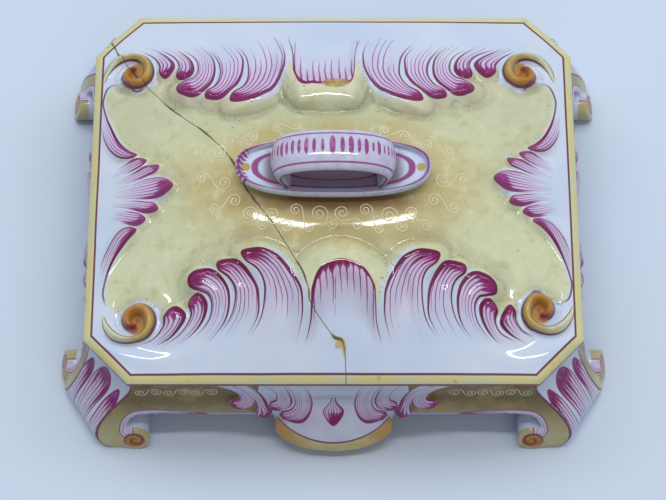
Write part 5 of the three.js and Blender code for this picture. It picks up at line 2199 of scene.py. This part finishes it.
@dataclass
class Studio:
    """Camera, soft light and the plain cloth."""

    elevation: float = 68  # camera's angle over the table, in degrees
    distance: float = 0.95  # from the camera to its target, in metres
    target: Triple = (-0.0002, -0.0276, 0.052)  # the point that the camera looks at, in metres
    lens: float = 114.9  # focal length in millimetres
    cloth: float = 3.0  # half the cloth's width, in metres

    def camera(self) -> None:
        """Places the camera at the photograph's angle."""
        data = bpy.data.cameras.new("camera")
        data.lens = self.lens
        data.sensor_width = 36
        data.clip_start, data.clip_end = 0.05, 20
        made = shown("camera", data)
        tilt = math.radians(self.elevation)
        back = Vector((0, -math.cos(tilt), math.sin(tilt)))
        made.location = Vector(self.target) + back * self.distance
        made.rotation_euler = (-back).to_track_quat("-Z", "Y").to_euler()
        bpy.context.scene.camera = made

    def lamp(self, name: str, place: Sequence[float], size: Pair, power: float) -> Piece:
        """Hangs a soft rectangular lamp.

        Args:
            name: The lamp's name.
            place: Where it hangs, in metres.
            size: Its length and width, in metres.
            power: Its power in watts.

        Returns:
            The lamp, which faces the casket.
        """
        data = bpy.data.lights.new(name, "AREA")
        data.shape = "RECTANGLE"
        data.size, data.size_y = size
        data.energy = power
        made = shown(name, data)
        made.location = place
        made.rotation_euler = (Vector((0, 0, 0.05)) - Vector(place)).to_track_quat("-Z", "Y").to_euler()
        return made

    def lights(self) -> None:
        """Sets the lamps and an even surrounding light."""
        window = self.lamp("window", (0.1, 0.8, 1.75), (4.2, 0.9), 38)
        window.data.color = (0.85, 0.95, 1.0)
        room = self.lamp("room", (0.5, -1.1, 1.5), (1.6, 1.0), 4.8)
        room.data.color = (1.0, 0.95, 0.87)
        for soft in (window, room):
            soft.visible_glossy = False
        self.lamp("tube", (0.0, 0.12, 1.7), (1.2, 0.07), 8)
        world = bpy.data.worlds.new("room")
        world.use_nodes = True
        around = world.node_tree.nodes["Background"].inputs
        around["Color"].default_value = (0.92, 0.94, 0.97, 1)
        around["Strength"].default_value = 0.27
        bpy.context.scene.world = world

    def table(self) -> None:
        """Lays the plain pale cloth."""
        mesh = bpy.data.meshes.new("cloth")
        corners = [(x * self.cloth, y * self.cloth, 0) for x, y in ((-1, -1), (1, -1), (1, 1), (-1, 1))]
        mesh.from_pydata(corners, [], [(0, 1, 2, 3)])
        shown("cloth", mesh, Linen("pale_cloth").material())

    def build(self) -> None:
        """Sets up the whole studio."""
        self.camera()
        self.lights()
        self.table()
        bpy.context.scene.view_settings.view_transform = "Standard"


def on_lid(lid: Lid, line: Array) -> Array:
    """Lays a line in plan on the lid's moulded top."""
    z = lid.top(line[:, 0], line[:, 1])
    return np.column_stack([line, z - 0.02])


def on_wall(box: Box, line: Array, mirror: int) -> Array:
    """Lays a line, given along and up, on the front wall's right half or mirrored on its left.

    Args:
        box: The box.
        line: The line's points.
        mirror: 1 for the right half, -1 for the left.

    Returns:
        The line in space.
    """
    along, z = line.T
    face = box.half_y + box.flare_of_side(box.half_x - box.cut - along, z)
    return np.column_stack([along * mirror, -face, z])


def main() -> None:
    """Builds the casket's looks piece by piece."""
    logging.basicConfig(level=logging.INFO, format="%(name)s: %(message)s")
    Studio().build()
    low, high = (np.array(corner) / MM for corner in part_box("lid_plate"))
    lid = Lid(half_x=float(high[0]), half_y=float(high[1]), seat=float(low[2]))
    handle = Handle(seat=lid.seat + lid.edge + lid.land_rise)
    inset = 1.0
    box = Box(lid.half_x - inset, lid.half_y - inset, lid.seat)
    pieces = [lid.build(), handle.saddle(), handle.strap(), *box.build()]
    curls = [on_lid(lid, line) for line in LID_SCROLLS]
    pieces.append(SlipTrail().trail("lid_curls", curls, "lid", "painted_lid"))
    fronts = [on_wall(box, line, mirror) for line in WALL_SCROLLS for mirror in (-1, 1)]
    backs = [line * (1, -1, 1) for line in fronts]
    pieces.append(SlipTrail().trail("wall_curls", [*fronts, *backs], "box", "painted_walls"))
    plain = PlainGlaze("white_glaze").material()
    for node in ("base_floor", "lid_flange"):
        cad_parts[node].data.materials.clear()
        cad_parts[node].data.materials.append(plain)
    for piece in pieces:
        LOG.info("%s: %d faces", piece.name, len(piece.data.polygons))


if __name__ == "__main__":
    main()
